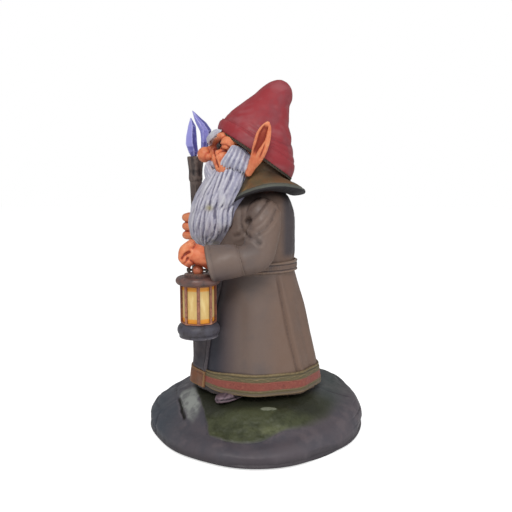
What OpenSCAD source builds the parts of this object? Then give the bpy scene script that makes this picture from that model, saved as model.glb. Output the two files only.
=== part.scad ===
// Garden gnome: a painted cast figure on a rock base, with a lift-out staff and a hanging
// lantern. Millimetres, +Z up, origin in the middle of the underside. The gnome faces -Y,
// so its left hand, which holds the lantern, is on the +X side.

/* [Base] */
// Radius of the rock base
base_r = 102; // [98:1:104]
// Thickness of the foam pad under the base
pad_t = 2; // [1.5:0.5:2.5]
// Radius of the filling hole in the underside
plug_r = 8; // [6:0.5:10]

/* [Robe] */
// Number of soft pleats round the skirt
pleats = 9; // [7:1:12]
// Depth of the pleats as a share of the skirt's radius
pleat_depth = 0.02; // [0:0.005:0.03]
// Wall thickness of the hollow castings
wall = 5; // [4:0.5:6]
// Thickness of the raised hem band
hem_t = 1.5; // [1:0.25:2]

/* [Staff] */
// Radius of the staff where it runs through the fist
staff_r = 5.4; // [5:0.1:5.6]
// Radial clearance of the staff in the fist and in the rock
staff_gap = 0.08; // [0.05:0.01:0.1]
// Radius of the staff's flared top
staff_top_r = 8.6; // [8:0.1:9]

/* [Lantern] */
// Radius of the lantern's cage over its corner bars
cage_r = 15.6; // [15:0.1:16]
// Height of the lantern's cage
cage_h = 33; // [32:0.5:34]
// Number of bars in the cage
cage_bars = 8; // [6:1:10]
// Width of each cage bar
bar_w = 3; // [2:0.25:3.5]
// Radius of the ball on the lantern's roof
finial_r = 4.7; // [4.4:0.1:4.8]
// Wire radius of the bail
wire_r = 0.9; // [0.8:0.1:1]

/* [Hidden] */
$fn = 64;
ring_n = 32;

// Ground and base
ground_z = 37;
cavity_r = 60;
cavity_z = [8, 20];
boss_r = 9;
screw_at = [[-20, 14], [20, 14]];
screw_r = 2;
screw_head_r = 4.2;

// Staff
staff_at = [-38, -59.5];
staff_foot_z = 21;
staff_thick_z = 206;
staff_cup_z = 230;
staff_top_z = 254;

// Lantern: its axis, then heights from the bottom up
lan_at = [48, -49.5];
lan_z = 96.5;
lan_base_h = 12.3;
lan_base_r = 18.4;
cage_z = lan_z + lan_base_h;
roof_z = cage_z + cage_h;
brim_r = 19.2;
brim_h = 6.8;
tier_r = 11.6;
tier_z = roof_z + brim_h;
tier_top = tier_z + 2.3;
pivot_z = tier_top + 3.1;
cage_turn = 6;
cage_wall = 1.8;
cage_ring = 0.9;
pin_r = 1;
pin_gap = 0.06;
leg_y = 7.5;
arch_z = pivot_z + 12;
cover_r = 12.4;
cell_r = 10;

// Dowels: the shoulder dowels lie along X at a Y and Z, and the neck dowel stands
dowel_at = [8, 190];
dowel_r = 3;
neck_y = 2;
neck_r = 4;

// ---- Shape helpers ----

function unit(v) = v / norm(v);
function total(list, i = 0) = i == len(list) - 1 ? list[i] : list[i] + total(list, i + 1);
function middle(ring) = total(ring) / len(ring);
// The point of a ring moved outward from its middle by e
function grow(ring, e) = let (c = middle(ring)) [for (p = ring) p + e * unit(p - c)];

// An oval ring through a front point and a back point, with half width w in X.
// lift raises its two sides, and d and k add k waves of depth d.
function oval(fy, fz, by, bz, w, lift = 0, d = 0, k = 1) = [
    for (i = [0:ring_n - 1])
        let (t = 360 * i / ring_n, s = 1 + d * cos(k * t))
        [w * s * cos(t), (fy + by) / 2 + (by - fy) / 2 * s * sin(t),
            (fz + bz) / 2 + (bz - fz) / 2 * s * sin(t) + lift * pow(cos(t), 2)]];

// A ring at right angles to direction t, with half width a in X and b across it
function tube_ring(c, t, a, b, n) =
    let (v = unit(cross(t, [1, 0, 0])), u = cross(v, t))
    [for (i = [0:n - 1]) c + a * cos(360 * i / n) * u + b * sin(360 * i / n) * v];
// Rings along a path whose entries are [point, a, b]
function path_rings(path, n = 20) = [
    for (i = [0:len(path) - 1])
        let (p = path[max(i - 1, 0)][0], q = path[min(i + 1, len(path) - 1)][0])
        tube_ring(path[i][0], unit(q - p), path[i][1], path[i][2], n)];

function side_faces(n, m, wrap) = [
    for (i = [0:(wrap ? m - 1 : m - 2)], j = [0:n - 1])
        let (k = (i + 1) % m, l = (j + 1) % n)
        each [[i * n + j, k * n + j, k * n + l], [i * n + j, k * n + l, i * n + l]]];

// A closed skin over a stack of rings, with a fan of faces over each end
module loft(rings) {
    n = len(rings[0]);
    m = len(rings);
    ends = [middle(rings[0]), middle(rings[m - 1])];
    first = [for (j = [0:n - 1]) [m * n, j, (j + 1) % n]];
    last = [for (j = [0:n - 1]) [m * n + 1, (m - 1) * n + (j + 1) % n, (m - 1) * n + j]];
    polyhedron(concat([for (r = rings) each r], ends),
        concat(side_faces(n, m, false), first, last), convexity = 8);
}

// A closed band: the last ring joins the first
module band(rings) {
    polyhedron([for (r = rings) each r], side_faces(len(rings[0]), len(rings), true),
        convexity = 8);
}

// The first child with the other children cut away, as one plain mesh
module seated() {
    resize([0, 0, 0]) difference() {
        children(0);
        children([1:$children - 1]);
    }
}

// Its children joined, as one plain mesh
module merged() {
    resize([0, 0, 0]) union() children();
}

module both_sides() {
    children();
    mirror([1, 0, 0]) children();
}

module capsule(p, q, r1, r2) {
    d = q - p;
    translate(p) sphere(r1);
    translate(q) sphere(r2);
    translate(p) rotate([0, acos(d[2] / norm(d)), atan2(d[1], d[0])])
        cylinder(h = norm(d), r1 = r1, r2 = r2);
}

module at_lantern(z) {
    translate([lan_at[0], lan_at[1], z]) children();
}

module at_staff(z) {
    translate([staff_at[0], staff_at[1], z]) children();
}

// ---- Base ----

// The rock's outline touches its full radius on each axis and falls short between
function rock_r(t) = base_r * (1 - 0.018 * (1 - cos(4 * t))
    + 0.012 * pow(sin(2 * t), 2) * sin(7 * t + 40));
// Share of the radius, height on the low side and height on the high side
ROCK = [[0.98, pad_t, pad_t], [1, 5, 7], [0.985, 11, 16], [0.93, 15, 26], [0.84, 18, 33],
    [0.72, 26, 36], [0.6, 34, ground_z], [0.45, 36.5, ground_z], [0.2, ground_z, ground_z]];
rock_n = 48;

module rock_shape() {
    loft([for (r = ROCK) [for (i = [0:rock_n - 1])
        let (t = 360 * i / rock_n, s = (1 - cos(t)) / 2)
        [r[0] * rock_r(t) * cos(t), r[0] * rock_r(t) * sin(t), r[1] + (r[2] - r[1]) * s]]]);
}

module rock_base() {
    color("slategray") difference() {
        rock_shape();
        difference() {
            translate([0, 0, cavity_z[0]]) cylinder(h = cavity_z[1] - cavity_z[0], r = cavity_r);
            for (p = screw_at) translate([p[0], p[1], 0]) cylinder(h = 30, r = boss_r);
        }
        translate([0, -12, 0]) cylinder(h = cavity_z[0] + 1, r = plug_r);
        for (p = screw_at) translate([p[0], p[1], 0]) {
            cylinder(h = 60, r = screw_r + 0.3);
            cylinder(h = 6, r = screw_head_r + 0.3);
        }
        at_staff(staff_foot_z) cylinder(h = 40, r = staff_r + staff_gap);
    }
}

module base_pad() {
    color("dimgray") difference() {
        cylinder(h = pad_t, r = 0.93 * base_r);
        translate([0, -12, -1]) cylinder(h = pad_t + 2, r = plug_r + 3);
    }
}

module fill_plug() {
    color("black") translate([0, -12, 0]) {
        translate([0, 0, pad_t - 1.4]) cylinder(h = 1.4, r = plug_r + 2);
        translate([0, 0, pad_t - 0.5]) cylinder(h = 7, r = plug_r - 0.05);
    }
}

module figure_screws() {
    color("silver") for (p = screw_at) translate([p[0], p[1], 0]) {
        translate([0, 0, 2.4]) cylinder(h = 3.6, r = screw_head_r);
        translate([0, 0, 5]) cylinder(h = 52, r = screw_r);
    }
}

// All that the skirt and its hem band take up near the ground
module hem_solid() {
    loft([grow(SKIRT[0], hem_t + 0.1), grow(SKIRT[1], hem_t + 0.1)]);
}

BOOT = [[[22, -8, 43], 6, 6], [[30, -16, 44], 9, 7], [[38, -25, 43.5], 9.5, 7],
    [[45, -32, 42.5], 8, 6], [[49, -36.5, 41], 3, 3]];

// A boot shape seated on the rock and under the hem
module under_hem() {
    color("rosybrown") seated() {
        children();
        hem_solid();
        rock_shape();
    }
}

module boot_left() {
    under_hem() loft(path_rings(BOOT));
}

module boot_right() {
    under_hem() mirror([1, 0, 0]) loft(path_rings(BOOT));
}

// ---- Robe ----

function pleated(fy, by, z, w, lift = 0) =
    oval(fy, z, by, z, w, lift, pleat_depth, pleats);

SKIRT = [pleated(-60, 61, ground_z, 51, 4), pleated(-57.5, 57.5, 58, 49.5, 2),
    pleated(-52, 50.5, 90, 44), pleated(-46, 45, 116, 41), oval(-41, 134, 40, 134, 38),
    oval(-37, 148, 36, 148, 35)];
TORSO = [SKIRT[5], oval(-36, 160, 35.8, 160, 34.5), oval(-37, 175, 36.5, 175, 34),
    oval(-37, 190, 36.5, 190, 33), oval(-34, 204, 35, 204, 31), oval(-27, 215, 30, 216, 26),
    oval(-16, 223, 20, 224, 17)];

module torso_shape() {
    loft(TORSO);
}

module robe_skirt() {
    color("rosybrown") difference() {
        union() {
            loft(concat(SKIRT, [for (i = [5:-1:1]) grow(SKIRT[i], -wall)],
                [grow(oval(-58, 46, 58, 46, 49), -wall)]));
            for (p = screw_at) translate([p[0], p[1], 42]) cylinder(h = 20, r = 6);
        }
        for (p = screw_at) translate([p[0], p[1], 30]) cylinder(h = 27, r = screw_r);
    }
}

module hem_band() {
    inner = [grow(SKIRT[0], 0.1), grow(SKIRT[1], 0.1)];
    color("darkkhaki") band([grow(inner[0], hem_t), grow(inner[1], hem_t), inner[1], inner[0]]);
}

// The ring points where the front panel's two edges run
flap_edges = [20, 28];
// The front panel's share of a ring that is grown by e
function panel(ring, e) = [for (j = [flap_edges[0]:flap_edges[1]]) grow(ring, e)[j]];
function strip(ring, e, t) = concat(panel(ring, e + t),
    [for (j = [flap_edges[1] - flap_edges[0]:-1:0]) panel(ring, e)[j]]);

module flap_piece(rings) {
    n = len(rings[0]);
    m = len(rings);
    polyhedron([for (r = rings) each r], concat(side_faces(n, m, false),
        [[for (j = [0:n - 1]) j]], [[for (j = [n - 1:-1:0]) (m - 1) * n + j]]), convexity = 8);
}

module front_flap() {
    color("dimgray") seated() {
        flap_piece([for (i = [1:5]) strip(SKIRT[i], 0.4, 2.2)]);
        belt_shape();
    }
}

module flap_hem() {
    color("peru") seated() {
        translate([0, 0, -0.3])
            flap_piece([strip(SKIRT[0], 0.2 + hem_t, 1.3), strip(SKIRT[1], 0.2 + hem_t, 1.3)]);
        rock_shape();
    }
}

module belt_shape() {
    low = grow(SKIRT[5], 0.4);
    high = grow(oval(-36.2, 158, 36, 158, 34.6), 0.4);
    band([grow(low, 2.4), grow(high, 2.4), high, low]);
}

module waist_belt() {
    color("saddlebrown") belt_shape();
}

// One bore through both shoulders
module dowel_bore() {
    translate([-50, dowel_at[0], dowel_at[1]]) rotate([0, 90, 0]) cylinder(h = 100, r = dowel_r);
}

module robe_torso() {
    color("rosybrown") difference() {
        loft(concat([for (i = [4:-1:0]) grow(TORSO[i], -wall)], TORSO));
        dowel_bore();
        translate([0, neck_y, 195]) cylinder(h = 50, r = neck_r);
    }
}

// The collar stands open in front, where the beard lies
COLLAR_FRONT = [[-60, 190], [-27, 200], [-17.8, 214.6], [-10.4, 222], [-4.4, 233], [-2, 250],
    [-60, 250]];

module collar_opening() {
    rotate([90, 0, 90]) translate([0, 0, -50]) linear_extrude(100) polygon(COLLAR_FRONT);
}

module collar_shape() {
    difference() {
        band([oval(-29.5, 204, 44.5, 217.5, 44, 10), oval(-30, 208, 45.3, 222, 45, 10),
            oval(-27, 215, 38.5, 226.5, 38, 11), oval(-24, 222, 31, 228, 33, 13),
            oval(-21, 227, 27, 228, 30, 15), oval(-19, 212, 24, 222, 22, 5),
            oval(-26, 207, 33, 216, 33, 8)]);
        collar_opening();
    }
}

module collar() {
    color("darkolivegreen") seated() {
        collar_shape();
        torso_shape();
        trim_shape();
        hat_shape();
    }
}

// ---- Arms ----

ARM_LEFT = [[[27, 8, 205], 9, 11], [[35, 8, 200], 13, 13.5], [[41, 7.5, 190], 14.5, 14],
    [[46, 4.5, 177], 15, 14.5], [[50, 0.5, 167], 14, 14.5], [[51.5, -7, 163], 13, 13.5],
    [[52, -17, 161.5], 12.5, 12.5]];
ARM_RIGHT = [[[-27, 8, 204.5], 9, 11], [[-35, 8, 200], 13, 13.4], [[-41, 7.5, 190], 14.5, 14],
    [[-46, 5, 179], 15, 14.5], [[-49, 1, 170], 14, 14.5], [[-49.5, -7, 168.5], 13, 13.5],
    [[-48, -17, 171], 12.5, 12.5]];

// A ring across a forearm, through a top and a bottom point. lean swings its bottom outward.
function cuff_ring(x, w, ty, tz, by, bz, lean) = [
    for (i = [0:ring_n - 1]) let (c = cos(360 * i / ring_n), s = sin(360 * i / ring_n))
        [x + w * c - lean * s, (ty + by) / 2 + (ty - by) / 2 * s, (tz + bz) / 2 + (tz - bz) / 2 * s]];
CUFF = [cuff_ring(52, 15, -19, 176.5, -13, 148.5, 0), cuff_ring(53, 15, -31, 176, -24, 146.5, 2),
    cuff_ring(54, 14.5, -44, 175.5, -36, 145, 5)];

module cuff_shape() {
    band(concat(CUFF, [for (i = [2:-1:0]) grow(CUFF[i], -2.2)]));
}

// Turns a left forearm piece into a right one, raised to the staff
module raised_right() {
    translate([-50, 5, 167]) rotate([-22, 0, 9]) translate([50, -5, -165])
        mirror([1, 0, 0]) children();
}

module arm(path) {
    seated() {
        loft(path_rings(path, 24));
        torso_shape();
        collar_shape();
        belt_shape();
        dowel_bore();
    }
}

module sleeve_left() {
    color("rosybrown") arm(ARM_LEFT);
}

module sleeve_right() {
    color("rosybrown") arm(ARM_RIGHT);
}

module cuff_left() {
    color("rosybrown") seated() {
        cuff_shape();
        loft(path_rings(ARM_LEFT, 24));
        at_lantern(lan_z) cylinder(h = 57, r = 21.5);
    }
}

module cuff_right() {
    color("rosybrown") seated() {
        raised_right() cuff_shape();
        loft(path_rings(ARM_RIGHT, 24));
    }
}

module arm_dowels() {
    color("silver") both_sides() translate([28.5, dowel_at[0], dowel_at[1]]) rotate([0, 90, 0])
        cylinder(h = 18, r = dowel_r);
}

// The wire's own path through the fist, at a given radius
module bail_wire(r) {
    for (s = [-1, 1]) at_lantern(pivot_z + 2) translate([0, s * leg_y, 0])
        cylinder(h = arch_z - pivot_z - 2, r = r);
    at_lantern(arch_z) rotate([90, 0, 90]) rotate_extrude(angle = 180) translate([leg_y, 0])
        circle(r = r);
}

module hand_left() {
    color("darksalmon") seated() {
        union() {
            $fn = 14;
            capsule([50, -53, 168.2], [52, -36, 160.5], 9.8, 7);
            capsule([52, -36, 160.5], [52, -24.1, 161], 7, 7);
            for (x = [42.4, 49, 55.6]) {
                capsule([x, -56.2, 176.8], [x, -61, 170], 4.2, 4.1);
                capsule([x, -60.9, 169.8], [x, -60, 161], 4, 4);
            }
            capsule([41, -48, 166], [44, -58, 162], 4, 3.6);
        }
        at_lantern(pivot_z - 8) cylinder(h = 13.4, r = 10.5);
        bail_wire(wire_r + 0.35, $fn = 14);
    }
}

module hand_right() {
    color("darksalmon") difference() {
        merged() {
            $fn = 14;
            capsule([-40, -53, 184], [-44, -36, 179.5], 9.5, 6.8);
            for (z = [177, 186, 195]) at_staff(z) rotate([0, 0, 50]) rotate_extrude(angle = 280)
                translate([10.4, 0]) circle(r = 4.4);
            capsule([-36, -48, 190], [-27, -56, 191], 4, 3.8);
        }
        at_staff(150) cylinder(h = 70, r = staff_r + staff_gap);
    }
}

// ---- Head ----

HEAD = [oval(-12, 214, 16, 212, 16), oval(-22, 224, 20, 218, 22), oval(-32, 236, 24, 224, 28),
    oval(-37, 250, 27, 229, 31), oval(-37, 262, 28, 232, 32), oval(-32, 271, 27, 234, 31)];

module head_shape() {
    loft(HEAD);
}

module neck_dowel() {
    color("silver") translate([0, neck_y, 200]) cylinder(h = 34, r = neck_r);
}

module head() {
    color("darksalmon") difference() {
        seated() {
            head_shape();
            torso_shape();
            collar_shape();
        }
        translate([0, neck_y, 190]) cylinder(h = 44, r = neck_r);
    }
}

module nose() {
    color("salmon") seated() {
        union() {
            translate([0, -46.8, 253.4]) sphere(7.2, $fn = 24);
            capsule([0, -34, 260], [0, -43, 256.5], 4, 5, $fn = 16);
        }
        head_shape();
    }
}

module eyes() {
    color("black") seated() {
        both_sides() translate([12.5, -33.5, 260]) sphere(3.6, $fn = 24);
        head_shape();
    }
}

BROW = [[[2.5, -41, 265.5], 2.5, 2.5], [[8, -41.5, 268], 3.6, 3.4], [[14, -38, 271], 3.6, 3.4],
    [[19, -32.5, 273], 2.6, 2.6], [[22, -29, 273.5], 1.2, 1.2]];

module eyebrows() {
    color("gainsboro") seated() {
        both_sides() loft(path_rings(BROW, 12));
        head_shape();
        hat_shape();
        trim_shape();
        roll_shape();
    }
}

EAR = [[[34, -6.5, 235], 3, 2.4], [[37.5, -3.5, 241.5], 3.5, 3.6], [[42, 0.7, 249], 3.2, 5.8],
    [[46, 3.4, 257], 2.6, 6.6], [[48, 6.3, 267], 2.3, 6.8], [[49, 9, 274], 1.6, 4.6],
    [[49, 10.6, 278.5], 0.8, 1.2]];

module ear() {
    seated() {
        union() {
            loft(path_rings(EAR));
            capsule([30, -3, 244], [39, -2, 245], 3, 3, $fn = 20);
        }
        head_shape();
        collar_shape();
        trim_shape();
        roll_shape();
    }
}

module ear_left() {
    color("darksalmon") ear();
}

module ear_right() {
    color("darksalmon") mirror([1, 0, 0]) ear();
}

WHISKER = [[[29, -19, 262], 1.5, 3], [[31.5, -15, 256], 3, 8], [[33, -13.5, 248], 3.5, 10],
    [[32.5, -17, 240], 3.5, 10], [[30, -20, 234], 2, 5]];

module whiskers() {
    color("gainsboro") seated() {
        both_sides() loft(path_rings(WHISKER, 16));
        head_shape();
        trim_shape();
        collar_shape();
        both_sides() ear();
    }
}

MOUSTACHE = [[[2, -43, 246], 3, 3], [[8, -44, 241], 4.5, 5], [[15, -40, 234], 4.5, 6],
    [[21, -33, 227], 3, 4], [[24, -28, 222], 1.2, 1.5]];

module moustache() {
    color("gainsboro") seated() {
        both_sides() loft(path_rings(MOUSTACHE, 16));
        head_shape();
        nose();
        collar_shape();
    }
}

BEARD = [oval(-46, 166, -36, 166, 6), oval(-53, 171, -22, 171, 14), oval(-58.5, 180, -8, 180, 24),
    oval(-60.5, 192, -2, 192, 29.5), oval(-59.5, 203, -2, 203, 31), oval(-53, 217, 2, 217, 32),
    oval(-47, 229, 8, 229, 32.5), oval(-41.5, 240, 8, 240, 32)];

module beard() {
    color("gainsboro") seated() {
        loft(BEARD);
        torso_shape();
        collar_shape();
        head_shape();
        moustache();
        whiskers();
        both_sides() ear();
        // nothing of the beard goes into the neck
        translate([0, 0, 200]) scale([1.3, 1, 1]) cylinder(h = 50, r = 22);
    }
}

// ---- Hat ----

HAT = [oval(-31.5, 274.5, 30.5, 234, 36), oval(-30, 282, 32.5, 246, 36.5),
    oval(-26, 288.5, 33.5, 257, 34.5), oval(-19, 295, 31.2, 273, 30), oval(-10, 301.5, 30, 285.5, 24.5),
    oval(-2, 307, 31.2, 296, 19.5), oval(5, 313.2, 33.2, 304, 15.5), oval(12, 318, 32.8, 311, 11),
    oval(17.5, 320, 29.5, 316.5, 6.5), oval(21.5, 320.4, 25.5, 319.2, 2)];

module hat_shape() {
    loft(HAT);
}

module roll_shape() {
    band([oval(-34.7, 276, 33.2, 232.4, 39), oval(-35, 280, 35.5, 239, 40.5),
        oval(-32.5, 284, 36, 247, 39.5), grow(HAT[1], 0.1), grow(HAT[0], 0.1)]);
}

module trim_shape() {
    band([oval(-33, 272, 31.4, 229.8, 37.6), oval(-34.4, 275.4, 32.6, 232.2, 38.6),
        oval(-29, 273, 28, 235, 33), oval(-28.5, 270.5, 27.5, 232.5, 32.3)]);
}

module hat_cone() {
    color("firebrick") seated() {
        hat_shape();
        trim_shape();
        head_shape();
    }
}

module hat_roll() {
    color("brown") seated() {
        roll_shape();
        hat_shape();
        trim_shape();
    }
}

module hat_trim() {
    color("darkolivegreen") seated() {
        trim_shape();
        head_shape();
    }
}

// ---- Staff ----

module staff_shaft() {
    color("dimgray") {
        at_staff(staff_foot_z) cylinder(h = staff_thick_z - staff_foot_z, r = staff_r);
        at_staff(staff_thick_z) cylinder(h = staff_cup_z - staff_thick_z, r1 = staff_r, r2 = 6.4);
    }
}

module staff_head() {
    color("dimgray") difference() {
        at_staff(staff_cup_z) cylinder(h = staff_top_z - staff_cup_z, r1 = 6.4, r2 = staff_top_r);
        at_staff(staff_top_z - 7) cylinder(h = 8, r = staff_top_r - 1.8);
    }
}

crystal_z = staff_top_z - 7;
CRYSTAL_TALL = [[[-38, -61.2, crystal_z], 2.6, 2.6], [[-38, -61.2, 254.5], 3.4, 3.2],
    [[-38, -61.5, 258.6], 4.8, 5.6], [[-38, -63.3, 266], 5.6, 6.6], [[-38, -63.2, 273.6], 5.4, 6],
    [[-38, -62.6, 283], 4.2, 4.5], [[-38, -63.7, 291.2], 0.5, 0.5]];
CRYSTAL_LEANING = [[[-38, -57, crystal_z], 2.2, 2.2], [[-38, -55.8, 254], 2.6, 2.6],
    [[-38, -50.8, 262], 3.6, 3.4], [[-38, -49.3, 270.5], 4.4, 4.9], [[-38, -49.2, 279], 4.2, 5.8],
    [[-38, -53.5, 286], 3.6, 5.1], [[-38, -57.3, 291], 2.4, 3.3], [[-38, -61.9, 297.7], 0.4, 0.4]];

module crystal_tall() {
    color("mediumslateblue") loft(path_rings(CRYSTAL_TALL, 6));
}

module crystal_leaning() {
    color("mediumslateblue") seated() {
        loft(path_rings(CRYSTAL_LEANING, 6));
        crystal_tall();
        staff_head();
    }
}

// ---- Lantern ----

module lantern_base() {
    edge = lan_base_h / 2 - 0.2;
    color("darkslategray") difference() {
        union() {
            at_lantern(lan_z) cylinder(h = lan_base_h, r = lan_base_r - edge);
            at_lantern(lan_z + lan_base_h / 2) rotate_extrude() translate([lan_base_r - edge, 0])
                circle(r = edge);
            at_lantern(lan_z) cylinder(h = 6, r = lan_base_r - 1.6);
        }
        at_lantern(lan_z - 1) cylinder(h = 6.5, r = cover_r + 0.1);
        at_lantern(cage_z - 2.5) cylinder(h = 3, r = 9);
        translate([lan_at[0] + 14.6, lan_at[1], lan_z]) cube([2.6, 7.4, 6], center = true);
    }
}

module lantern_cage() {
    color("saddlebrown") at_lantern(cage_z) rotate([0, 0, cage_turn]) difference() {
        cylinder(h = cage_h, r = cage_r, $fn = cage_bars);
        translate([0, 0, -1]) cylinder(h = cage_h + 2, r = cage_r - cage_wall, $fn = cage_bars);
        for (i = [0:cage_bars - 1]) rotate([0, 0, (i + 0.5) * 360 / cage_bars])
            translate([cage_r, 0, cage_h / 2])
            cube([12, 2 * cage_r * sin(180 / cage_bars) - bar_w, cage_h - 2 * cage_ring], center = true);
    }
}

module lantern_panes() {
    apothem = (cage_r - cage_wall) * cos(180 / cage_bars);
    color("khaki") at_lantern(cage_z) rotate([0, 0, cage_turn]) for (i = [0:cage_bars - 1])
        rotate([0, 0, (i + 0.5) * 360 / cage_bars])
        translate([apothem - 0.55, 0, cage_h / 2])
        cube([0.9, 2 * apothem * tan(180 / cage_bars) - 1.2, cage_h - 1], center = true);
}

module lantern_roof() {
    color("saddlebrown") difference() {
        union() {
            at_lantern(roof_z) cylinder(h = brim_h, r = brim_r - brim_h / 2);
            at_lantern(roof_z + brim_h / 2) rotate_extrude() translate([brim_r - brim_h / 2, 0])
                circle(r = brim_h / 2);
            at_lantern(tier_z - 1) cylinder(h = tier_top - tier_z + 1, r = tier_r);
        }
        at_lantern(roof_z - 1) cylinder(h = 4.5, r = 11);
        at_lantern(roof_z) cylinder(h = 20, r = 2);
        at_lantern(pivot_z) sphere(finial_r + 0.02);
    }
}

module lantern_finial() {
    color("peru") difference() {
        union() {
            at_lantern(pivot_z) sphere(finial_r);
            at_lantern(roof_z + 4) cylinder(h = pivot_z - roof_z - 4, r = 2);
        }
        at_lantern(pivot_z) rotate([90, 0, 0]) cylinder(h = 20, r = pin_r, center = true);
    }
}

module bail_pin() {
    color("silver") at_lantern(pivot_z) rotate([90, 0, 0]) {
        cylinder(h = 2 * leg_y + 2.4, r = pin_r, center = true);
        for (s = [-1, 1]) translate([0, 0, s * (leg_y + 1.6)])
            cylinder(h = 0.8, r = 1.7, center = true);
    }
}

module lantern_bail() {
    color("dimgray") difference() {
        union() {
            bail_wire(wire_r);
            for (s = [-1, 1]) at_lantern(pivot_z) translate([0, s * leg_y, 0])
                rotate([90, 0, 0]) cylinder(h = 2, r = 2.4, center = true);
        }
        at_lantern(pivot_z) rotate([90, 0, 0])
            cylinder(h = 2 * leg_y + 4, r = pin_r + pin_gap, center = true);
    }
}

module led_board() {
    color("green") at_lantern(cage_z - 2.5) cylinder(h = 1.6, r = 8.9);
}

module led_lamp() {
    color("white") {
        at_lantern(cage_z - 0.9) cylinder(h = 5, r = 2.5);
        at_lantern(cage_z + 4.1) sphere(2.5);
    }
}

module coin_cell() {
    color("silver") at_lantern(lan_z + 2.1) cylinder(h = 3.2, r = cell_r);
}

module battery_cover() {
    color("darkslategray") difference() {
        at_lantern(lan_z) cylinder(h = 1.8, r = cover_r);
        at_lantern(lan_z) cube([12, 1.6, 1.6], center = true);
    }
}

module switch_slider() {
    color("black") translate([lan_at[0] + 14.6, lan_at[1] - 1.3, lan_z + 0.5])
        cube([2.2, 4, 3], center = true);
}

rock_base();
base_pad();
fill_plug();
figure_screws();
boot_left();
boot_right();
robe_skirt();
hem_band();
front_flap();
flap_hem();
waist_belt();
robe_torso();
collar();
sleeve_left();
sleeve_right();
cuff_left();
cuff_right();
hand_left();
hand_right();
arm_dowels();
neck_dowel();
head();
nose();
eyes();
eyebrows();
ear_left();
ear_right();
whiskers();
moustache();
beard();
hat_cone();
hat_roll();
hat_trim();
staff_shaft();
staff_head();
crystal_tall();
crystal_leaning();
lantern_base();
lantern_cage();
lantern_panes();
lantern_roof();
lantern_finial();
bail_pin();
lantern_bail();
led_board();
led_lamp();
coin_cell();
battery_cover();
switch_slider();
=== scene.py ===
import math

import bmesh
import bpy
import numpy as np
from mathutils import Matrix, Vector


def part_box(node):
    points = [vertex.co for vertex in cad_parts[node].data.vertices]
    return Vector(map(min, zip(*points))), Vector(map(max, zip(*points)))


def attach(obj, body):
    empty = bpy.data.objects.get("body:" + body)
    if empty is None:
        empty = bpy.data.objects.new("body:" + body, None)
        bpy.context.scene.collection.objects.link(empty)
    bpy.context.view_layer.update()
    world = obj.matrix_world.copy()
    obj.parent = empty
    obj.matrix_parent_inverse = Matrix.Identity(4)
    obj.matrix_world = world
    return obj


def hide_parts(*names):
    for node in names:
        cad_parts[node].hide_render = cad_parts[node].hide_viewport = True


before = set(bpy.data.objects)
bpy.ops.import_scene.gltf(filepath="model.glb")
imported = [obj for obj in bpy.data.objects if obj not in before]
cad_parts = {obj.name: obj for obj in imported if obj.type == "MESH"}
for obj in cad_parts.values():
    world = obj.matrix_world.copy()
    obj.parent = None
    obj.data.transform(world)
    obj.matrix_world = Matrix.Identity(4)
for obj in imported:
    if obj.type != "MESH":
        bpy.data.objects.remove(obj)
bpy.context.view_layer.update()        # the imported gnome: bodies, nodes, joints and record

MM = 0.001
FINE = 1.0     # voxel size factor


def mm(node):
    """A CAD node's box in millimetres, as two arrays."""
    low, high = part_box(node)
    return np.array(low) / MM, np.array(high) / MM


# ---------------------------------------------------------------- noise and curves

def lattice(i, j, k, seed):
    h = (i * 374761393 + j * 668265263 + k * 1440662683 + seed * 974711) & 0xFFFFFFFF
    h = ((h ^ (h >> 13)) * 1274126177) & 0xFFFFFFFF
    return ((h ^ (h >> 16)) & 0xFFFFFF) / 8388607.5 - 1.0


def noise(points, size, seed=0):
    """Smooth value noise from -1 to 1, with features of the given size in mm."""
    q = points / size
    i = np.floor(q).astype(np.int64)
    f = q - i
    u = f * f * (3 - 2 * f)
    out = np.zeros(points.shape[:-1])
    for a in (0, 1):
        for b in (0, 1):
            for c in (0, 1):
                w = (np.abs(1 - a - u[..., 0]) * np.abs(1 - b - u[..., 1]) * np.abs(1 - c - u[..., 2]))
                out += w * lattice(i[..., 0] + a, i[..., 1] + b, i[..., 2] + c, seed)
    return out


def fbm(points, size, octaves=4, seed=0):
    total = sum(noise(points, size / 2 ** o, seed + o) * 0.5 ** o for o in range(octaves))
    return total / (2 - 0.5 ** (octaves - 1))


def spline(a, b, c, d, f):
    """Catmull-Rom values at the share f of the way from b to c."""
    return 0.5 * (2 * b + (c - a) * f + (2 * a - 5 * b + 4 * c - d) * f ** 2
                  + (3 * b - a - 3 * c + d) * f ** 3)


def curve(points, count):
    """A Catmull-Rom curve through rows of numbers."""
    p = np.asarray(points, float)
    t = np.linspace(0, len(p) - 1, count)
    i = np.minimum(t.astype(int), len(p) - 2)
    f = (t - i)[:, None]
    q = np.vstack([2 * p[0] - p[1], p, 2 * p[-1] - p[-2]])
    return spline(q[i], q[i + 1], q[i + 2], q[i + 3], f)


def closed_curve(points, count):
    p = np.asarray(points, float)
    t = np.linspace(0, len(p), count, endpoint=False)
    i = t.astype(int)
    f = (t - i)[:, None]
    return spline(*(p[(i + k) % len(p)] for k in (-1, 0, 1, 2)), f)


def smooth(x, low, high):
    t = np.clip((x - low) / (high - low), 0, 1)
    return t * t * (3 - 2 * t)


def bump(x, centre, width):
    return np.exp(-((x - centre) / width) ** 2)


def turn_gap(a, b):
    """The signed gap between two angles in degrees."""
    return (a - b + 180) % 360 - 180


# ---------------------------------------------------------------- surfaces in mm

def ring_angles(n):
    return np.linspace(0, 360, n, endpoint=False)


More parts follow.
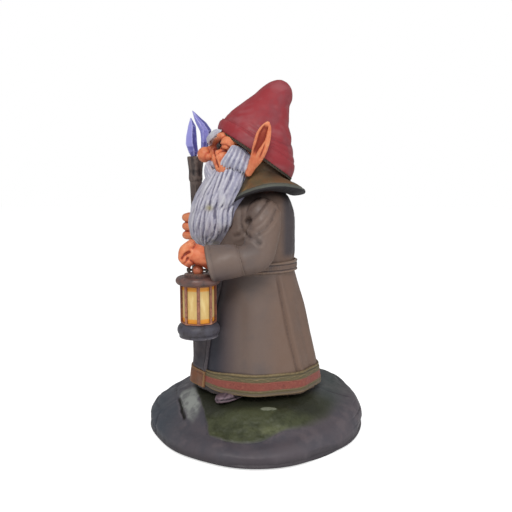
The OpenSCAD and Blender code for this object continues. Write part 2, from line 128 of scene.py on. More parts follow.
def oval_rings(s, n):
    """An oval for each row of front y, z, back y, z, half width and, where given, side lift."""
    t = np.radians(ring_angles(n))[None, :]
    c, sn = np.cos(t), np.sin(t)
    col = [s[:, k:k + 1] for k in range(s.shape[1])] + [0]
    return np.stack([col[4] * c, (col[0] + col[2]) / 2 + (col[2] - col[0]) / 2 * sn,
                     (col[1] + col[3]) / 2 + (col[3] - col[1]) / 2 * sn + col[5] * c * c], -1)


def ovals(sections, m, n, closed=False):
    """Ovals along smooth curves through the rows."""
    return oval_rings((closed_curve if closed else curve)(sections, m), n)


def grid_normals(P, closed=False):
    du = np.roll(P, -1, 1) - np.roll(P, 1, 1)
    dv = np.roll(P, -1, 0) - np.roll(P, 1, 0) if closed else np.gradient(P, axis=0)
    n = np.cross(du, dv)
    return n / np.maximum(np.linalg.norm(n, axis=-1, keepdims=True), 1e-9)


def push(P, d, closed=False):
    return P + grid_normals(P, closed) * np.asarray(d)[..., None]


def skin(P, closed=False):
    """Vertices and faces of a grid of rings, capped at both ends or closed into a band."""
    m, n = P.shape[:2]
    index = np.arange(m * n).reshape(m, n)
    low = index if closed else index[:-1]
    high = np.roll(index, -1, 0) if closed else index[1:]
    quads = np.stack([low, np.roll(low, -1, 1), np.roll(high, -1, 1), high], -1).reshape(-1, 4).tolist()
    V = P.reshape(-1, 3)
    if not closed:
        V = np.vstack([V, P[0].mean(0), P[-1].mean(0)])
        k = (m - 1) * n
        quads += [[m * n, (j + 1) % n, j] for j in range(n)]
        quads += [[m * n + 1, k + j, k + (j + 1) % n] for j in range(n)]
    return V, quads


def join(shells):
    V, F, start = [], [], 0
    for v, f in shells:
        V.append(v)
        F += [[i + start for i in face] for face in f]
        start += len(v)
    return np.vstack(V), F


def sweep(path, n=24, m=40, section=None):
    """A closed tube along rows of x, y, z, half width, half thickness. section(angle, t) scales it."""
    s = curve(path, m)
    p = s[:, :3]
    t = np.gradient(p, axis=0)
    t /= np.linalg.norm(t, axis=1, keepdims=True)
    v = np.cross(t, [1.0, 0, 0])
    weak = np.linalg.norm(v, axis=1) < 0.2
    v[weak] = np.cross(t[weak], [0, 0, 1.0])
    v /= np.linalg.norm(v, axis=1, keepdims=True)
    u = np.cross(v, t)
    a = np.radians(ring_angles(n))
    k = 1 if section is None else section(a[None, :], np.linspace(0, 1, m)[:, None])
    wide = np.maximum(s[:, 3:4], 0.05) * np.cos(a) * k
    tall = np.maximum(s[:, 4:5], 0.05) * np.sin(a) * k
    return skin(p[:, None] + u[:, None] * wide[..., None] + v[:, None] * tall[..., None])


def blob(c, r, n=28, m=18):
    """An ellipsoid with radii r."""
    lat = np.linspace(-90, 90, m)[1:-1]
    cl, sl = np.cos(np.radians(lat))[:, None], np.sin(np.radians(lat))[:, None]
    a = np.radians(ring_angles(n))[None, :]
    P = np.stack([c[0] + r[0] * cl * np.cos(a), c[1] + r[1] * cl * np.sin(a),
                  c[2] + r[2] * sl * np.ones_like(a)], -1)
    return skin(P)


def rod(points, r0, r1=None):
    """A round-ended tube through points, its radius going from r0 to r1."""
    r1 = r0 if r1 is None else r1
    p = np.asarray(points, float)
    r = np.linspace(r0, r1, len(p))
    ends = [blob(p[0], [r0] * 3, 16, 12), blob(p[-1], [r1] * 3, 16, 12)]
    return join([sweep(np.column_stack([p, r, r]), 18, 6 * len(p))] + ends)


def line_gap(y, z, points):
    """Distance in the side view from each (y, z) to a polyline."""
    best = np.full(np.shape(y), 1e9)
    for (y0, z0), (y1, z1) in zip(points, points[1:]):
        dy, dz = y1 - y0, z1 - z0
        t = np.clip(((y - y0) * dy + (z - z0) * dz) / (dy * dy + dz * dz), 0, 1)
        best = np.minimum(best, np.hypot(y - y0 - t * dy, z - z0 - t * dz))
    return best


def creases(P, lines, lip=0.45, reach=2.2):
    """Grooves with a soft lip, drawn in the side view: each is points, width, depth."""
    out = np.zeros(P.shape[:-1])
    for points, width, depth in lines:
        gap = line_gap(P[..., 1], P[..., 2], points)
        out += depth * (lip * bump(gap, reach * width, width) - bump(gap, 0, width))
    return out


# ---------------------------------------------------------------- meshes

def edges_of(mesh):
    e = np.zeros(len(mesh.edges) * 2, np.int64)
    mesh.edges.foreach_get("vertices", e)
    return e.reshape(-1, 2)


def relax(P, edges, times, keep=0.0):
    """Moves every vertex towards its neighbours' mean, times over."""
    a, b = edges[:, 0], edges[:, 1]
    count = np.bincount(np.concatenate([a, b]), minlength=len(P))[:, None].clip(1)
    for _ in range(times):
        total = np.stack([np.bincount(a, P[b, k], len(P)) + np.bincount(b, P[a, k], len(P))
                          for k in range(P.shape[1])], 1)
        P = P * keep + total / count * (1 - keep)
    return P


def read(mesh):
    co = np.zeros(len(mesh.vertices) * 3, np.float32)
    mesh.vertices.foreach_get("co", co)
    return co.reshape(-1, 3).astype(float) / MM


def write(mesh, P):
    mesh.vertices.foreach_set("co", (P * MM).astype(np.float32).ravel())
    mesh.update()


def normals(mesh):
    n = np.zeros(len(mesh.vertices) * 3, np.float32)
    mesh.vertex_normals.foreach_get("vector", n)
    return n.reshape(-1, 3).astype(float)


def mark(mesh, name, values):
    layer = mesh.attributes.get(name) or mesh.attributes.new(name, "FLOAT", "POINT")
    layer.data.foreach_set("value", np.asarray(values, np.float32))


def build(name, shell):
    """A mesh object in the scene, from vertices in mm and faces."""
    V, F = shell
    mesh = bpy.data.meshes.new(name)
    mesh.from_pydata((V * MM).tolist(), [], F)
    obj = bpy.data.objects.new(name, mesh)
    bpy.context.scene.collection.objects.link(obj)
    return obj


def settle(obj):
    """Gives an object the mesh that its modifiers make."""
    made = bpy.data.meshes.new_from_object(obj.evaluated_get(bpy.context.evaluated_depsgraph_get()))
    obj.modifiers.clear()
    old, obj.data = obj.data, made
    name = old.name
    bpy.data.meshes.remove(old)
    made.name = name


def piece(name, shell, material, body="figure", voxel=None, rounds=1, shape=None, replaces=None,
          zones=None, cavity_mm=0.35):
    """Makes one finished piece: fused by voxels where asked, relaxed, shaped and marked for painting.
    It replaces the CAD node of its own name unless others are given."""
    obj = build(name, shell)
    if voxel:
        remesh = obj.modifiers.new("fuse", "REMESH")
        remesh.mode = "VOXEL"
        remesh.voxel_size = voxel * FINE * MM
        settle(obj)
        write(obj.data, relax(read(obj.data), edges_of(obj.data), rounds, 0.3))
    mesh = obj.data
    if shape is not None:
        P = read(mesh)
        write(mesh, P + normals(mesh) * shape(P)[:, None])
    P, N, E = read(mesh), normals(mesh), edges_of(mesh)
    near = ((relax(P, E, 5) - P) * N).sum(1) / cavity_mm
    wide = ((relax(P, E, 24) - P) * N).sum(1) / (2.5 * cavity_mm)
    mark(mesh, "cav", np.clip(relax((near + wide)[:, None], E, 1)[:, 0], -1.5, 1.5))
    for zone, rule in (zones or {}).items():
        mark(mesh, zone, rule(P))
    mesh.shade_smooth()
    obj.data.materials.clear()
    obj.data.materials.append(material)
    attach(obj, body)
    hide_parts(*(replaces or [name]))
    return obj


# ---------------------------------------------------------------- paints

def rgb(r, g, b):
    """A colour given in 0 to 255, as the shader's linear values."""
    return tuple(((c / 255 + 0.055) / 1.055) ** 2.4 if c > 10 else c / 255 / 12.92 for c in (r, g, b)) + (1,)


class Paint:
    """A node material built up in coats."""

    def __init__(self, name, rough=0.6, specular=0.4, coat=0.0):
        self.mat = bpy.data.materials.new(name)
        self.mat.use_nodes = True
        self.tree = self.mat.node_tree
        self.shader = self.tree.nodes["Principled BSDF"]
        self.shader.inputs["Specular IOR Level"].default_value = specular
        self.shader.inputs["Coat Weight"].default_value = coat
        self.shader.inputs["Coat Roughness"].default_value = 0.25
        self.place = self.node("ShaderNodeTexCoord").outputs["Object"]
        self.rough = rough
        self.colour = None

    def node(self, kind, **values):
        n = self.tree.nodes.new(kind)
        for key, value in values.items():
            setattr(n, key, value)
        return n

    def link(self, a, b):
        self.tree.links.new(a, b)

    def attribute(self, name):
        return self.node("ShaderNodeAttribute", attribute_name=name).outputs["Fac"]

    def noise(self, size_mm, detail=4, rough=0.6, stretch=(1, 1, 1)):
        n = self.node("ShaderNodeTexNoise")
        n.inputs["Scale"].default_value = 1000 / size_mm
        n.inputs["Detail"].default_value = detail
        n.inputs["Roughness"].default_value = rough
        m = self.node("ShaderNodeMapping")
        m.inputs["Scale"].default_value = stretch
        self.link(self.place, m.inputs["Vector"])
        self.link(m.outputs["Vector"], n.inputs["Vector"])
        return n.outputs["Fac"]

    def span(self, value, low, high, out_low=0.0, out_high=1.0):
        """A smooth step from out_low at low to out_high at high, where low may be the larger."""
        if low > high:
            low, high, out_low, out_high = high, low, out_high, out_low
        m = self.node("ShaderNodeMapRange", interpolation_type="SMOOTHSTEP")
        for key, v in zip(("From Min", "From Max", "To Min", "To Max"), (low, high, out_low, out_high)):
            m.inputs[key].default_value = v
        self.link(value, m.inputs["Value"])
        return m.outputs["Result"]

    def along(self, axis, low, high):
        """A mask that rises from low to high millimetres along an axis."""
        split = self.node("ShaderNodeSeparateXYZ")
        self.link(self.place, split.inputs[0])
        return self.span(split.outputs[axis], low * MM, high * MM)

    def maths(self, kind, a, b):
        m = self.node("ShaderNodeMath", operation=kind)
        for socket, v in zip(m.inputs, (a, b)):
            if isinstance(v, (int, float)):
                socket.default_value = v
            else:
                self.link(v, socket)
        return m.outputs[0]

    def times(self, a, b):
        return self.maths("MULTIPLY", a, b)

    def coat(self, colour, mask=1.0, blend="MIX"):
        """Lays a colour over what is there, through a mask. Three values are 0 to 255, four are linear."""
        if len(colour) == 3:
            colour = rgb(*colour)
        if self.colour is None:
            c = self.node("ShaderNodeRGB")
            c.outputs[0].default_value = colour
            self.colour = c.outputs[0]
            return self
        m = self.node("ShaderNodeMix", data_type="RGBA", blend_type=blend)
        if isinstance(mask, (int, float)):
            m.inputs[0].default_value = mask
        else:
            self.link(mask, m.inputs[0])
        self.link(self.colour, m.inputs[6])
        m.inputs[7].default_value = colour
        self.colour = m.outputs[2]
        return self

    def wash_shade_highlight(self, dark, light, deep=0.9, rise=0.6):
        """A dark wash in the hollows and a dry brushed light on the raised edges: the figure's own wash and
        dry brushing, laid on as painted shade in the hollows and a painted highlight on the edges.
        """
        cav = self.attribute("cav")
        grain = self.noise(2.5, 3)
        self.coat(dark, self.times(self.span(self.maths("ADD", cav, self.span(grain, 0.3, 0.7, -0.12, 0.12)),
                                             0.05, 0.9), deep))
        edge = self.times(self.span(cav, -0.12, -0.9), self.span(grain, 0.35, 0.6, 0.45, 1.0))
        self.coat(light, self.times(edge, rise))
        return self

    def finish(self, bump_mm=0.05, grain_mm=1.2, rough_spread=0.12, stretch=(1, 1, 1), glow=None):
        self.link(self.colour, self.shader.inputs["Base Color"])
        patch = self.noise(9, 4)
        self.link(self.span(patch, 0.3, 0.7, self.rough - rough_spread, self.rough + rough_spread),
                  self.shader.inputs["Roughness"])
        b = self.node("ShaderNodeBump")
        b.inputs["Strength"].default_value = 0.6
        b.inputs["Distance"].default_value = bump_mm * MM * 2
        self.link(self.noise(grain_mm, 5, 0.65, stretch), b.inputs["Height"])
        self.link(b.outputs["Normal"], self.shader.inputs["Normal"])
        if glow:
            self.link(self.colour, self.shader.inputs["Emission Color"])
            self.shader.inputs["Emission Strength"].default_value = glow
        return self.mat


def blotched(name, base, other, size=14, rough=0.6, **more):
    """A base colour with soft blotches of a second one."""
    p = Paint(name, rough, **more)
    p.coat(base)
    return p.coat(other, p.span(p.noise(size, 3), 0.42, 0.68))


def robe_paint():
    p = blotched("robe_paint", (112, 95, 87), (102, 90, 86), 26, 0.55)
    # lighter, warmer brown towards the back: partly the robe's own colour shift, partly painted light
    p.coat((120, 94, 78), p.times(p.along("Y", 2, 26), 0.6))
    # painted shade on the front below the left arm
    p.coat((78, 68, 70), p.times(p.along("Y", -8, -30), p.along("Z", 165, 140)))
    # painted shadow of the lantern and arm, dark and bluish low on the front
    p.coat((50, 50, 60), p.times(p.along("Y", -24, -38), p.along("Z", 152, 132)))
    # painted shade along the back edge of the torso
    p.coat((62, 57, 62), p.times(p.along("Y", 20, 28), p.times(p.along("Z", 158, 166), 0.9)))
    p.wash_shade_highlight((58, 46, 44), (138, 120, 108), 0.75, 0.3)
    p.coat((44, 36, 36), p.times(p.attribute("shade"), 0.85))
    return p.finish(0.04, 1.0)


def hem_paint():
    p = Paint("hem_paint", 0.5)
    p.coat((100, 90, 64))
    v = p.attribute("band_v")
    red = p.times(p.span(v, 0.24, 0.3), p.span(v, 0.66, 0.6))
    p.coat((138, 72, 62), red)
    p.coat((160, 92, 74), p.times(red, p.span(p.noise(3.4, 4), 0.5, 0.7, 0, 0.6)))
    p.coat((120, 58, 52), p.times(red, p.span(p.noise(2.6, 3), 0.46, 0.34, 0, 0.5)))
    p.coat((104, 90, 78), p.span(v, 0.16, 0.1))
    p.coat((60, 50, 40), p.span(v, 0.94, 0.985))
    p.wash_shade_highlight((60, 48, 38), (156, 132, 92), 0.6, 0.45)
    return p.finish(0.06, 0.8)


def plain_paint(name, base, other, dark, light, rough=0.6, size=14, bump_mm=0.05, grain=1.2, deep=0.85,
                rise=0.55, **more):
    p = blotched(name, base, other, size, rough, **more)
    p.wash_shade_highlight(dark, light, deep, rise)
    return p.finish(bump_mm, grain)


def skin_paint():
    p = blotched("skin_paint", (214, 112, 74), (200, 94, 60), 7, 0.5)
    p.coat((226, 144, 100), p.times(p.span(p.noise(11, 2), 0.5, 0.75), 0.6))
    p.wash_shade_highlight((132, 46, 28), (236, 160, 116), 0.9, 0.5)
    # painted shade in the eye sockets, beside the bridge of the nose, under the nose, in the ear hollows and
    # under the curled fingers
    p.coat((132, 38, 18), p.times(p.attribute("inner"), 0.92))
    # painted shade: the eye sockets near black-brown
    p.coat((46, 26, 22), p.span(p.attribute("eye"), 0.25, 0.6))
    p.shader.inputs["Subsurface Weight"].default_value = 0.05
    p.shader.inputs["Subsurface Scale"].default_value = 0.002
    return p.finish(0.03, 0.8)


def hair_paint():
    p = blotched("hair_paint", (178, 175, 190), (160, 160, 180), 16, 0.6)
    p.coat((204, 204, 210), p.times(p.span(p.noise(9, 2, stretch=(1, 1, 0.3)), 0.5, 0.7), 0.6))
    # painted shade: bluer and darker towards the back, away from the front of the beard
    p.coat((140, 140, 168), p.times(p.along("Y", -30, -16), 0.6))
    p.wash_shade_highlight((92, 90, 116), (222, 222, 228), 0.8, 0.6)
    p.coat((150, 142, 84), p.times(p.attribute("gold"), 0.7))
    return p.finish(0.06, 0.9, stretch=(1, 1, 0.25))


def hat_paint():
    p = blotched("hat_paint", (150, 44, 52), (136, 54, 62), 26, 0.52)
    # painted highlight: soft mauve patches over the red
    p.coat((158, 84, 90), p.times(p.span(p.noise(26, 2, stretch=(1, 1, 1.6)), 0.52, 0.72), 0.65))
    # painted highlight: a magenta sheen low on the front, above the trim
    p.coat((146, 40, 66), p.times(p.along("Z", 272, 262), p.times(p.along("Y", -12, -22), 0.6)))
    p.wash_shade_highlight((88, 26, 38), (180, 92, 98), 0.85, 0.4)
    return p.finish(0.04, 1.0)


def collar_paint():
    p = blotched("collar_paint", (104, 72, 44), (88, 74, 50), 20, 0.66)
    p.coat((134, 104, 52), p.times(p.along("Y", 2, -12), p.times(p.span(p.noise(12, 3), 0.46, 0.66), 0.6)))
    # painted shade: darker at the top of the collar's back, under the hat
    p.coat((50, 38, 30), p.times(p.along("Z", 228, 236), p.times(p.along("Y", 0, 14), 0.75)))
    p.coat((82, 86, 80), p.times(p.attribute("rim"), 0.95))
    p.wash_shade_highlight((40, 34, 28), (132, 122, 96), 0.7, 0.35)
    # painted shade: the collar's underside near black
    p.coat((30, 27, 30), p.attribute("under"))
    return p.finish(0.06, 1.4)


def rock_paint():
    p = blotched("rock_paint", (84, 77, 83), (70, 68, 76), 40, 0.55)
    p.coat((102, 92, 96), p.times(p.span(p.noise(22, 3), 0.5, 0.68), 0.6))
    p.coat((58, 68, 78), p.times(p.along("Y", -50, -92), 0.75))
    p.coat((54, 64, 60), p.times(p.along("Y", 30, 70), p.times(p.along("Z", 24, 34), 0.7)))
    # painted shade: darker low on the rim, under its overhang
    p.coat((52, 47, 52), p.times(p.along("Z", 11, 3), 0.75))
    p.wash_shade_highlight((44, 40, 46), (116, 108, 114), 0.75, 0.35)
    moss = p.attribute("moss")
    p.coat((66, 70, 46), moss)
    pale = p.times(p.span(p.noise(16, 3, stretch=(1, 0.35, 1)), 0.46, 0.68), p.along("X", 68, 78))
    p.coat((92, 96, 66), p.times(moss, pale))
    p.coat((46, 50, 30), p.times(moss, p.span(p.noise(14, 3), 0.54, 0.36, 0, 0.7)))
    # painted shade: darker moss in towards the hem, under the robe
    p.coat((36, 38, 25), p.times(moss, p.along("X", 64, 52)))
    # the pale streak: paler stone, with a painted reflection laid over it
    p.coat((150, 154, 150), p.times(p.attribute("sheen_streak"), p.span(p.noise(9, 3), 0.34, 0.6, 0.35, 0.95)))
    p.coat((126, 130, 112), p.attribute("pebble"))
    # painted shade: the slit darkened to near black
    p.coat((28, 26, 22), p.attribute("slit"))
    return p.finish(0.08, 2.2)


def crystal_paint():
    p = Paint("crystal_paint", 0.38, 0.5, coat=0.3)
    p.coat((84, 84, 158))
    # painted highlight on the facets that face the front, painted shade on the others and low down
    p.coat((128, 126, 204), p.span(p.attribute("facet_light"), 0.15, 0.5))
    p.coat((156, 156, 226), p.span(p.attribute("facet_light"), 0.5, 0.9))
    p.coat((164, 164, 232), p.times(p.span(p.noise(7, 3), 0.5, 0.72), 0.4))
    p.wash_shade_highlight((78, 80, 150), (184, 184, 240), 0.4, 0.7)
    return p.finish(0.05, 2.0)


def staff_paint():
    p = blotched("staff_paint", (78, 68, 66), (60, 52, 52), 12, 0.6)
    p.coat((96, 84, 80), p.times(p.span(p.noise(5, 4, stretch=(1, 1, 0.12)), 0.5, 0.7), 0.6))
    p.wash_shade_highlight((28, 22, 24), (128, 112, 104), 0.85, 0.55)
    return p.finish(0.12, 1.4, stretch=(1, 1, 0.15))


def pane_paint():
    """Cream panes with an amber strip at the top and the bottom."""
    low, high = mm("lantern_panes")
    p = Paint("pane_paint", 0.4, 0.5)
    p.coat((214, 180, 112))
    p.coat((232, 208, 146), p.times(p.span(p.noise(5, 3, stretch=(1, 1, 0.3)), 0.42, 0.7), 0.8))
    strip = 3.8
    for end, inward in ((low[2], 1), (high[2], -1)):
        p.coat((226, 150, 44), p.along("Z", end + 1.2 * inward * strip, end + 0.95 * inward * strip))
    return p.finish(0.04, 1.5, glow=0.05)


def worn_paint(name, base, other, chip, rough=0.5, **more):
    """A CAD part's paint, with worn corners found by the pointiness of the mesh."""
    p = blotched(name, base, other, 8, rough, **more)
    edge = p.node("ShaderNodeNewGeometry").outputs["Pointiness"]
    p.coat(chip, p.times(p.span(edge, 0.52, 0.6), p.span(p.noise(3, 4), 0.4, 0.6, 0.3, 0.9)))
    p.coat(tuple(c * 0.35 for c in rgb(*other)[:3]) + (1,), p.times(p.span(p.noise(4, 5), 0.56, 0.7), 0.5))
    return p.finish(0.06, 1.2)


ROBE, HEM, SKIN, HAIR, HAT = robe_paint(), hem_paint(), skin_paint(), hair_paint(), hat_paint()
COLLAR, ROCK, STAFF = collar_paint(), rock_paint(), staff_paint()

# ---------------------------------------------------------------- base and boots

GROUND = 37.0
FOOT = 2.0                         # underside of the rock, over its foam pad
LANTERN = np.array([48.0, -49.5])  # where the lantern's axis stands
STAFF_AT = np.array([-38.0, -59.5])
STAFF_BORE = 5.48

BASE_R = mm("rock_base")[1][0]

# share of the radius, height on the low side, height on the high side
ROCK_ROWS = [[0.98, FOOT, FOOT], [0.99, FOOT + 0.2, FOOT + 0.2], [1, 5, 10], [0.985, 11, 20],
             [0.93, 15, 31], [0.84, 18, 35.5], [0.72, 26, 36.8], [0.6, 34, GROUND], [0.45, 36.5, GROUND],
             [0.2, GROUND, GROUND]]
STREAK_FROM, STREAK_TO, STREAK_HALF = np.array([2.0, -67.0]), np.array([57.0, -52.0]), 7.5
PEBBLE, PEBBLE_SIZE = np.array([59.0, 11.0]), np.array([2.6, 7.5])


def rock_outline(t):
    c = np.radians(t)
    return BASE_R * (1 - 0.018 * (1 - np.cos(4 * c)) + 0.012 * np.sin(2 * c) ** 2 * np.sin(7 * c + 0.7))


def streak_place(P):
    """Distance along and across the pale streak that runs past the front of the robe."""
    along = (STREAK_TO - STREAK_FROM) / np.linalg.norm(STREAK_TO - STREAK_FROM)
    d = P[:, :2] - STREAK_FROM
    return d @ along / np.linalg.norm(STREAK_TO - STREAK_FROM), d @ np.array([-along[1], along[0]])


def moss_zone(P):
    """Moss from the hem out to a clear wavy edge, on the side towards the lantern."""
    t = np.degrees(np.arctan2(P[:, 1], P[:, 0]))
    edge = 0.825 * BASE_R + 3.0 * fbm(P, 26, 2, 31) - 4 * bump(t, 18, 16) + 2.5 * bump(t, -8, 16)
    u, across = streak_place(P)
    side = smooth(t, 80, 40) * smooth(t, -95, -80)
    side *= smooth(across + 1.5 * fbm(P, 9, 2, 32), STREAK_HALF - 0.5, STREAK_HALF + 1)
    return side * smooth(np.hypot(P[:, 0], P[:, 1]) - edge, 1.0, -1.4 - 10 * smooth(t, 18, 45))


# The pale streak: paler stone with a painted reflection laid over it.
def sheen_streak_zone(P):
    u, across = streak_place(P)
    wave = 1.6 * fbm(P, 8, 3, 37)
    half = STREAK_HALF * (0.75 + 0.45 * np.sin(2.6 * u + 0.6))
    u = u + 0.05 * wave
    return smooth(np.abs(across + 1.6 * wave), half, half - 3.5) * smooth(u, 0.0, 0.2) * smooth(u, 1.05, 0.7)


def slit_zone(P):
    u, across = streak_place(P)
    gap = np.abs(across + STREAK_HALF + 1 + 1.3 * fbm(P, 12, 2, 41))
    return smooth(gap, 1.7, 0.7) * smooth(u, 0.12, 0.25) * smooth(u, 0.86, 0.7)


def pebble_zone(P):
    gap = np.hypot(*((P[:, :2] - PEBBLE) / PEBBLE_SIZE).T) + 0.15 * fbm(P, 4, 2, 43)
    return smooth(gap, 1.0, 0.8) * smooth(P[:, 2], 20, 26)


def rock_shell():
    """The rock's rings, with lumps, layers on its far side, cracks, moss, a slit and a pebble."""
    rows, n = ((190, 680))
    s = curve(ROCK_ROWS, rows)
    t = ring_angles(n)[None, :]
    side = np.clip((1 - np.cos(np.radians(t))) / 2 + 0.25 * np.sin(np.radians(t)), 0, 1)
    r = s[:, 0:1] * rock_outline(t)
    z = s[:, 1:2] + (s[:, 2:3] - s[:, 1:2]) * side
    P = np.stack([r * np.cos(np.radians(t)), r * np.sin(np.radians(t)), z], -1)
    rim = smooth(s[:, 0:1], 0.55, 0.7) * smooth(P[..., 2], FOOT, FOOT + 2)
    flat = P.reshape(-1, 3)
    away = np.abs(turn_gap(t, 5)) / 180
    d = 2.3 * fbm(P, 44, 2, 3) + 0.8 * fbm(P, 17, 2, 5) + 0.12 * fbm(P, 5, 2, 7) - 0.6
    lip = P[..., 2] - 9 - 6 * fbm(P, 42, 2, 9)
    d += 1.3 * (smooth(lip, -2.5, 2.0) - 0.5) * smooth(fbm(P, 30, 1, 10), -0.4, 0.1)
    steps = np.abs(((P[..., 2] + 4 * fbm(P, 50, 2, 4)) / 7.4) % 1 - 0.5) * 2
    rugged = smooth(away, 0.22, 0.5) * smooth(fbm(P, 40, 2, 6), -0.3, 0.1)
    d -= 1.5 * rugged * bump(steps, 0, 0.22)
    facet = noise(P * [1, 1, 0.6], 36, 8)
    d -= (0.2 + 1.0 * smooth(away, 0.15, 0.5)) * bump(facet, 0, 0.07) * smooth(noise(P, 50, 13), -0.1, 0.3)
    relief = 0.9 * moss_zone(flat) * (1 + 0.9 * fbm(flat, 5, 3, 14)) + 1.5 * pebble_zone(flat)
    relief -= 2.2 * slit_zone(flat) + 0.5 * sheen_streak_zone(flat)
    d += relief.reshape(d.shape)
    return skin(push(P, d * rim))


def rod_shell(x, y, z0, z1, r):
    return sweep([[x, y, z0, r, r], [x, y, z1, r, r]], 64, 3)


def trim(obj, shell):
    """Cuts a shell out of a piece."""
    tool = build("cutter", shell)
    cut = obj.modifiers.new("cut", "BOOLEAN")
    cut.object, cut.operation, cut.solver = tool, "DIFFERENCE", "EXACT"
    settle(obj)
    bpy.data.meshes.remove(tool.data)


rock = piece("rock", rock_shell(), ROCK, replaces=["rock_base"], cavity_mm=0.5,
             zones={"moss": moss_zone, "sheen_streak": sheen_streak_zone, "slit": slit_zone, "pebble": pebble_zone})
trim(rock, rod_shell(STAFF_AT[0], STAFF_AT[1], 21, 60, STAFF_BORE))

BOOT_PATH = np.array([[22, -8, 42, 7, 4.6], [30, -16, 41.6, 8.4, 4.2], [38.5, -22.5, 41.2, 8.8, 4.0],
                      [44.5, -27.5, 40.8, 8, 3.8], [49, -31.5, 40.2, 6, 3.0], [51.6, -34, 39.6, 2.5, 1.9]])
BOOT_PAINT = plain_paint("boot_paint", (80, 66, 74), (68, 57, 66), (32, 27, 32), (140, 116, 126), 0.45)


def boot_shape(P):
    sole = GROUND + 1.8
    welt = -0.3 * bump(P[:, 2], sole + 1.2, 0.45) + 0.3 * bump(P[:, 2], sole, 0.8)
    return welt + 0.25 * fbm(P, 9, 3, 21) - 0.5 * bump(noise(P, 11, 22), 0, 0.1)


for side, name in ((1, "left"), (-1, "right")):
    path = BOOT_PATH * [side, 1, 1, 1, 1]
    sole = BOOT_PATH * [side, 1, 0, 1.03, 0] + [0, 0, GROUND + 1.4, 0, 1.6]
    piece("boot_" + name, join([sweep(path), sweep(sole)]), BOOT_PAINT, voxel=0.6, shape=boot_shape)

# ---------------------------------------------------------------- robe

# front y, z, back y, z, half width, side lift
SKIRT = [[-60, 37, 61, 37, 51, 4], [-57.5, 58, 57.5, 58, 49.5, 2], [-52, 90, 50.5, 90, 44, 0],
         [-46, 116, 45, 116, 41, 0], [-41, 134, 40, 134, 38, 0], [-37, 148, 36, 148, 35, 0]]
TORSO = [[-37, 147, 36, 147, 35], [-36, 160, 35.8, 160, 34.5], [-37, 175, 36.5, 175, 34],
         [-37, 190, 36.5, 190, 33], [-34, 204, 35, 204, 31], [-27, 215, 30, 216, 26], [-16, 223, 20, 224, 17]]
PLEATS, PLEAT_DEPTH = 9, 0.02
FLAP = (-130.0, -50.0)             # the front panel's two edges, as angles round the skirt
# angle, swing, width, depth and top of each fold
FOLDS = ((36, 6, 2.4, 1.7, 152), (24, 4, 6.0, -0.5, 130), (-14, 3, 7.0, 0.7, 130), (8, -2, 6.0, 0.5, 120),
         (62, 5, 5.0, 0.8, 125), (104, -4, 2.6, 1.2, 146), (150, 5, 4.0, 0.9, 140), (-160, -6, 3.6, 1.0, 130),
         (196, 4, 5.0, 0.8, 120))


def pleat_folds(P, t):
    """Depth of the soft folds: waves that run down the cloth and one long sharp pleat."""
    z = P[..., 2]
    low = smooth(z, 152, 95)
    around = np.stack([60 * np.cos(np.radians(t)) + 0 * z, 60 * np.sin(np.radians(t)) + 0 * z, 0.12 * z], -1)
    d = low * (0.9 * fbm(around, 22, 2, 51) + 0.15 * noise(around, 10, 52)) + 0.15 * fbm(P, 18, 2, 53)
    for at, swing, width, depth, top in FOLDS:
        gap = turn_gap(t, at + swing * (z - 100) / -60 + 0.8 * np.sin(z / 17 + at))
        on = smooth(z, top, top - 16) * smooth(z, 36, 44)
        d -= depth * on * bump(gap, 0, width)
        d += 0.5 * depth * on * bump(gap, 2.2 * width, 1.5 * width)
    return d


def hem_low(t):
    """Height of the hem's lower edge: it lifts over the toes of the boots."""
    return 42.0 + 4.0 * bump(np.abs(turn_gap(t, 270)), 41, 15) + 0.8 * np.cos(np.radians(t)) ** 2


def skirt_grid(rows, n, z_from=0, z_to=5):
    """The skirt's surface between two of its section rows."""
    t = ring_angles(n)[None, :]
    at = np.linspace(z_from, z_to, rows)
    full = curve(SKIRT, 501)
    s = np.stack([np.interp(at, np.linspace(0, 5, 501), full[:, k]) for k in range(6)], 1)
    P = oval_rings(s, n)
    centre = P.mean(1, keepdims=True)
    wave = 1 + PLEAT_DEPTH * np.cos(np.radians(PLEATS * t)) * smooth(s[:, 3:4], 134, 112)
    return centre + (P - centre) * wave[..., None]


ROUND = 760
P = skirt_grid(240, ROUND)
t = ring_angles(ROUND)[None, :]
under = 5.5 * smooth(P[..., 2] - hem_low(t), 1.6, 0.2)
piece("skirt", skin(push(P, pleat_folds(P, t) - 0.2 - under)), ROBE, replaces=["robe_skirt"],
      cavity_mm=0.7)

HEM_THICK = 1.6


def hem_v(P):
    """How far up the hem band a point is, from 0 to 1."""
    t = np.degrees(np.arctan2(P[:, 1], P[:, 0]))
    low, high = hem_low(t), 60.4 + 2 * np.cos(np.radians(t)) ** 2
    return np.clip((P[:, 2] - low) / (high - low), 0, 1)


def hem_relief(t, v, P):
    """Raised cords, a wavy scroll between them and a knobbly middle strip."""
    wander = 0.02 * fbm(P, 9, 2, 60)
    v = v + wander
    d = 0.3 * bump(v, 0.95, 0.03) + 0.2 * bump(v, 0.65, 0.025)
    d += 0.26 * bump(v, 0.24, 0.03) - 0.3 * bump(v, 0.895, 0.02)
    arc = np.radians(t) * 56
    for phase, depth in ((0.0, 0.26), (2.4, 0.2)):
        d += depth * bump(v, 0.78 + 0.06 * np.sin(arc / 3.1 + phase + 1.5 * fbm(P, 20, 1, 63)), 0.022)
    knobs = noise(P, 1.5, 64) + 0.6 * noise(P * [1, 1, 0.6], 3.0, 65)
    d += 0.14 * smooth(v, 0.27, 0.33) * smooth(v, 0.62, 0.56) * knobs
    return d + 0.1 * fbm(P, 2.6, 3, 61) - 0.3 * (1 - smooth(np.minimum(v, 1 - v), 0, 0.04))


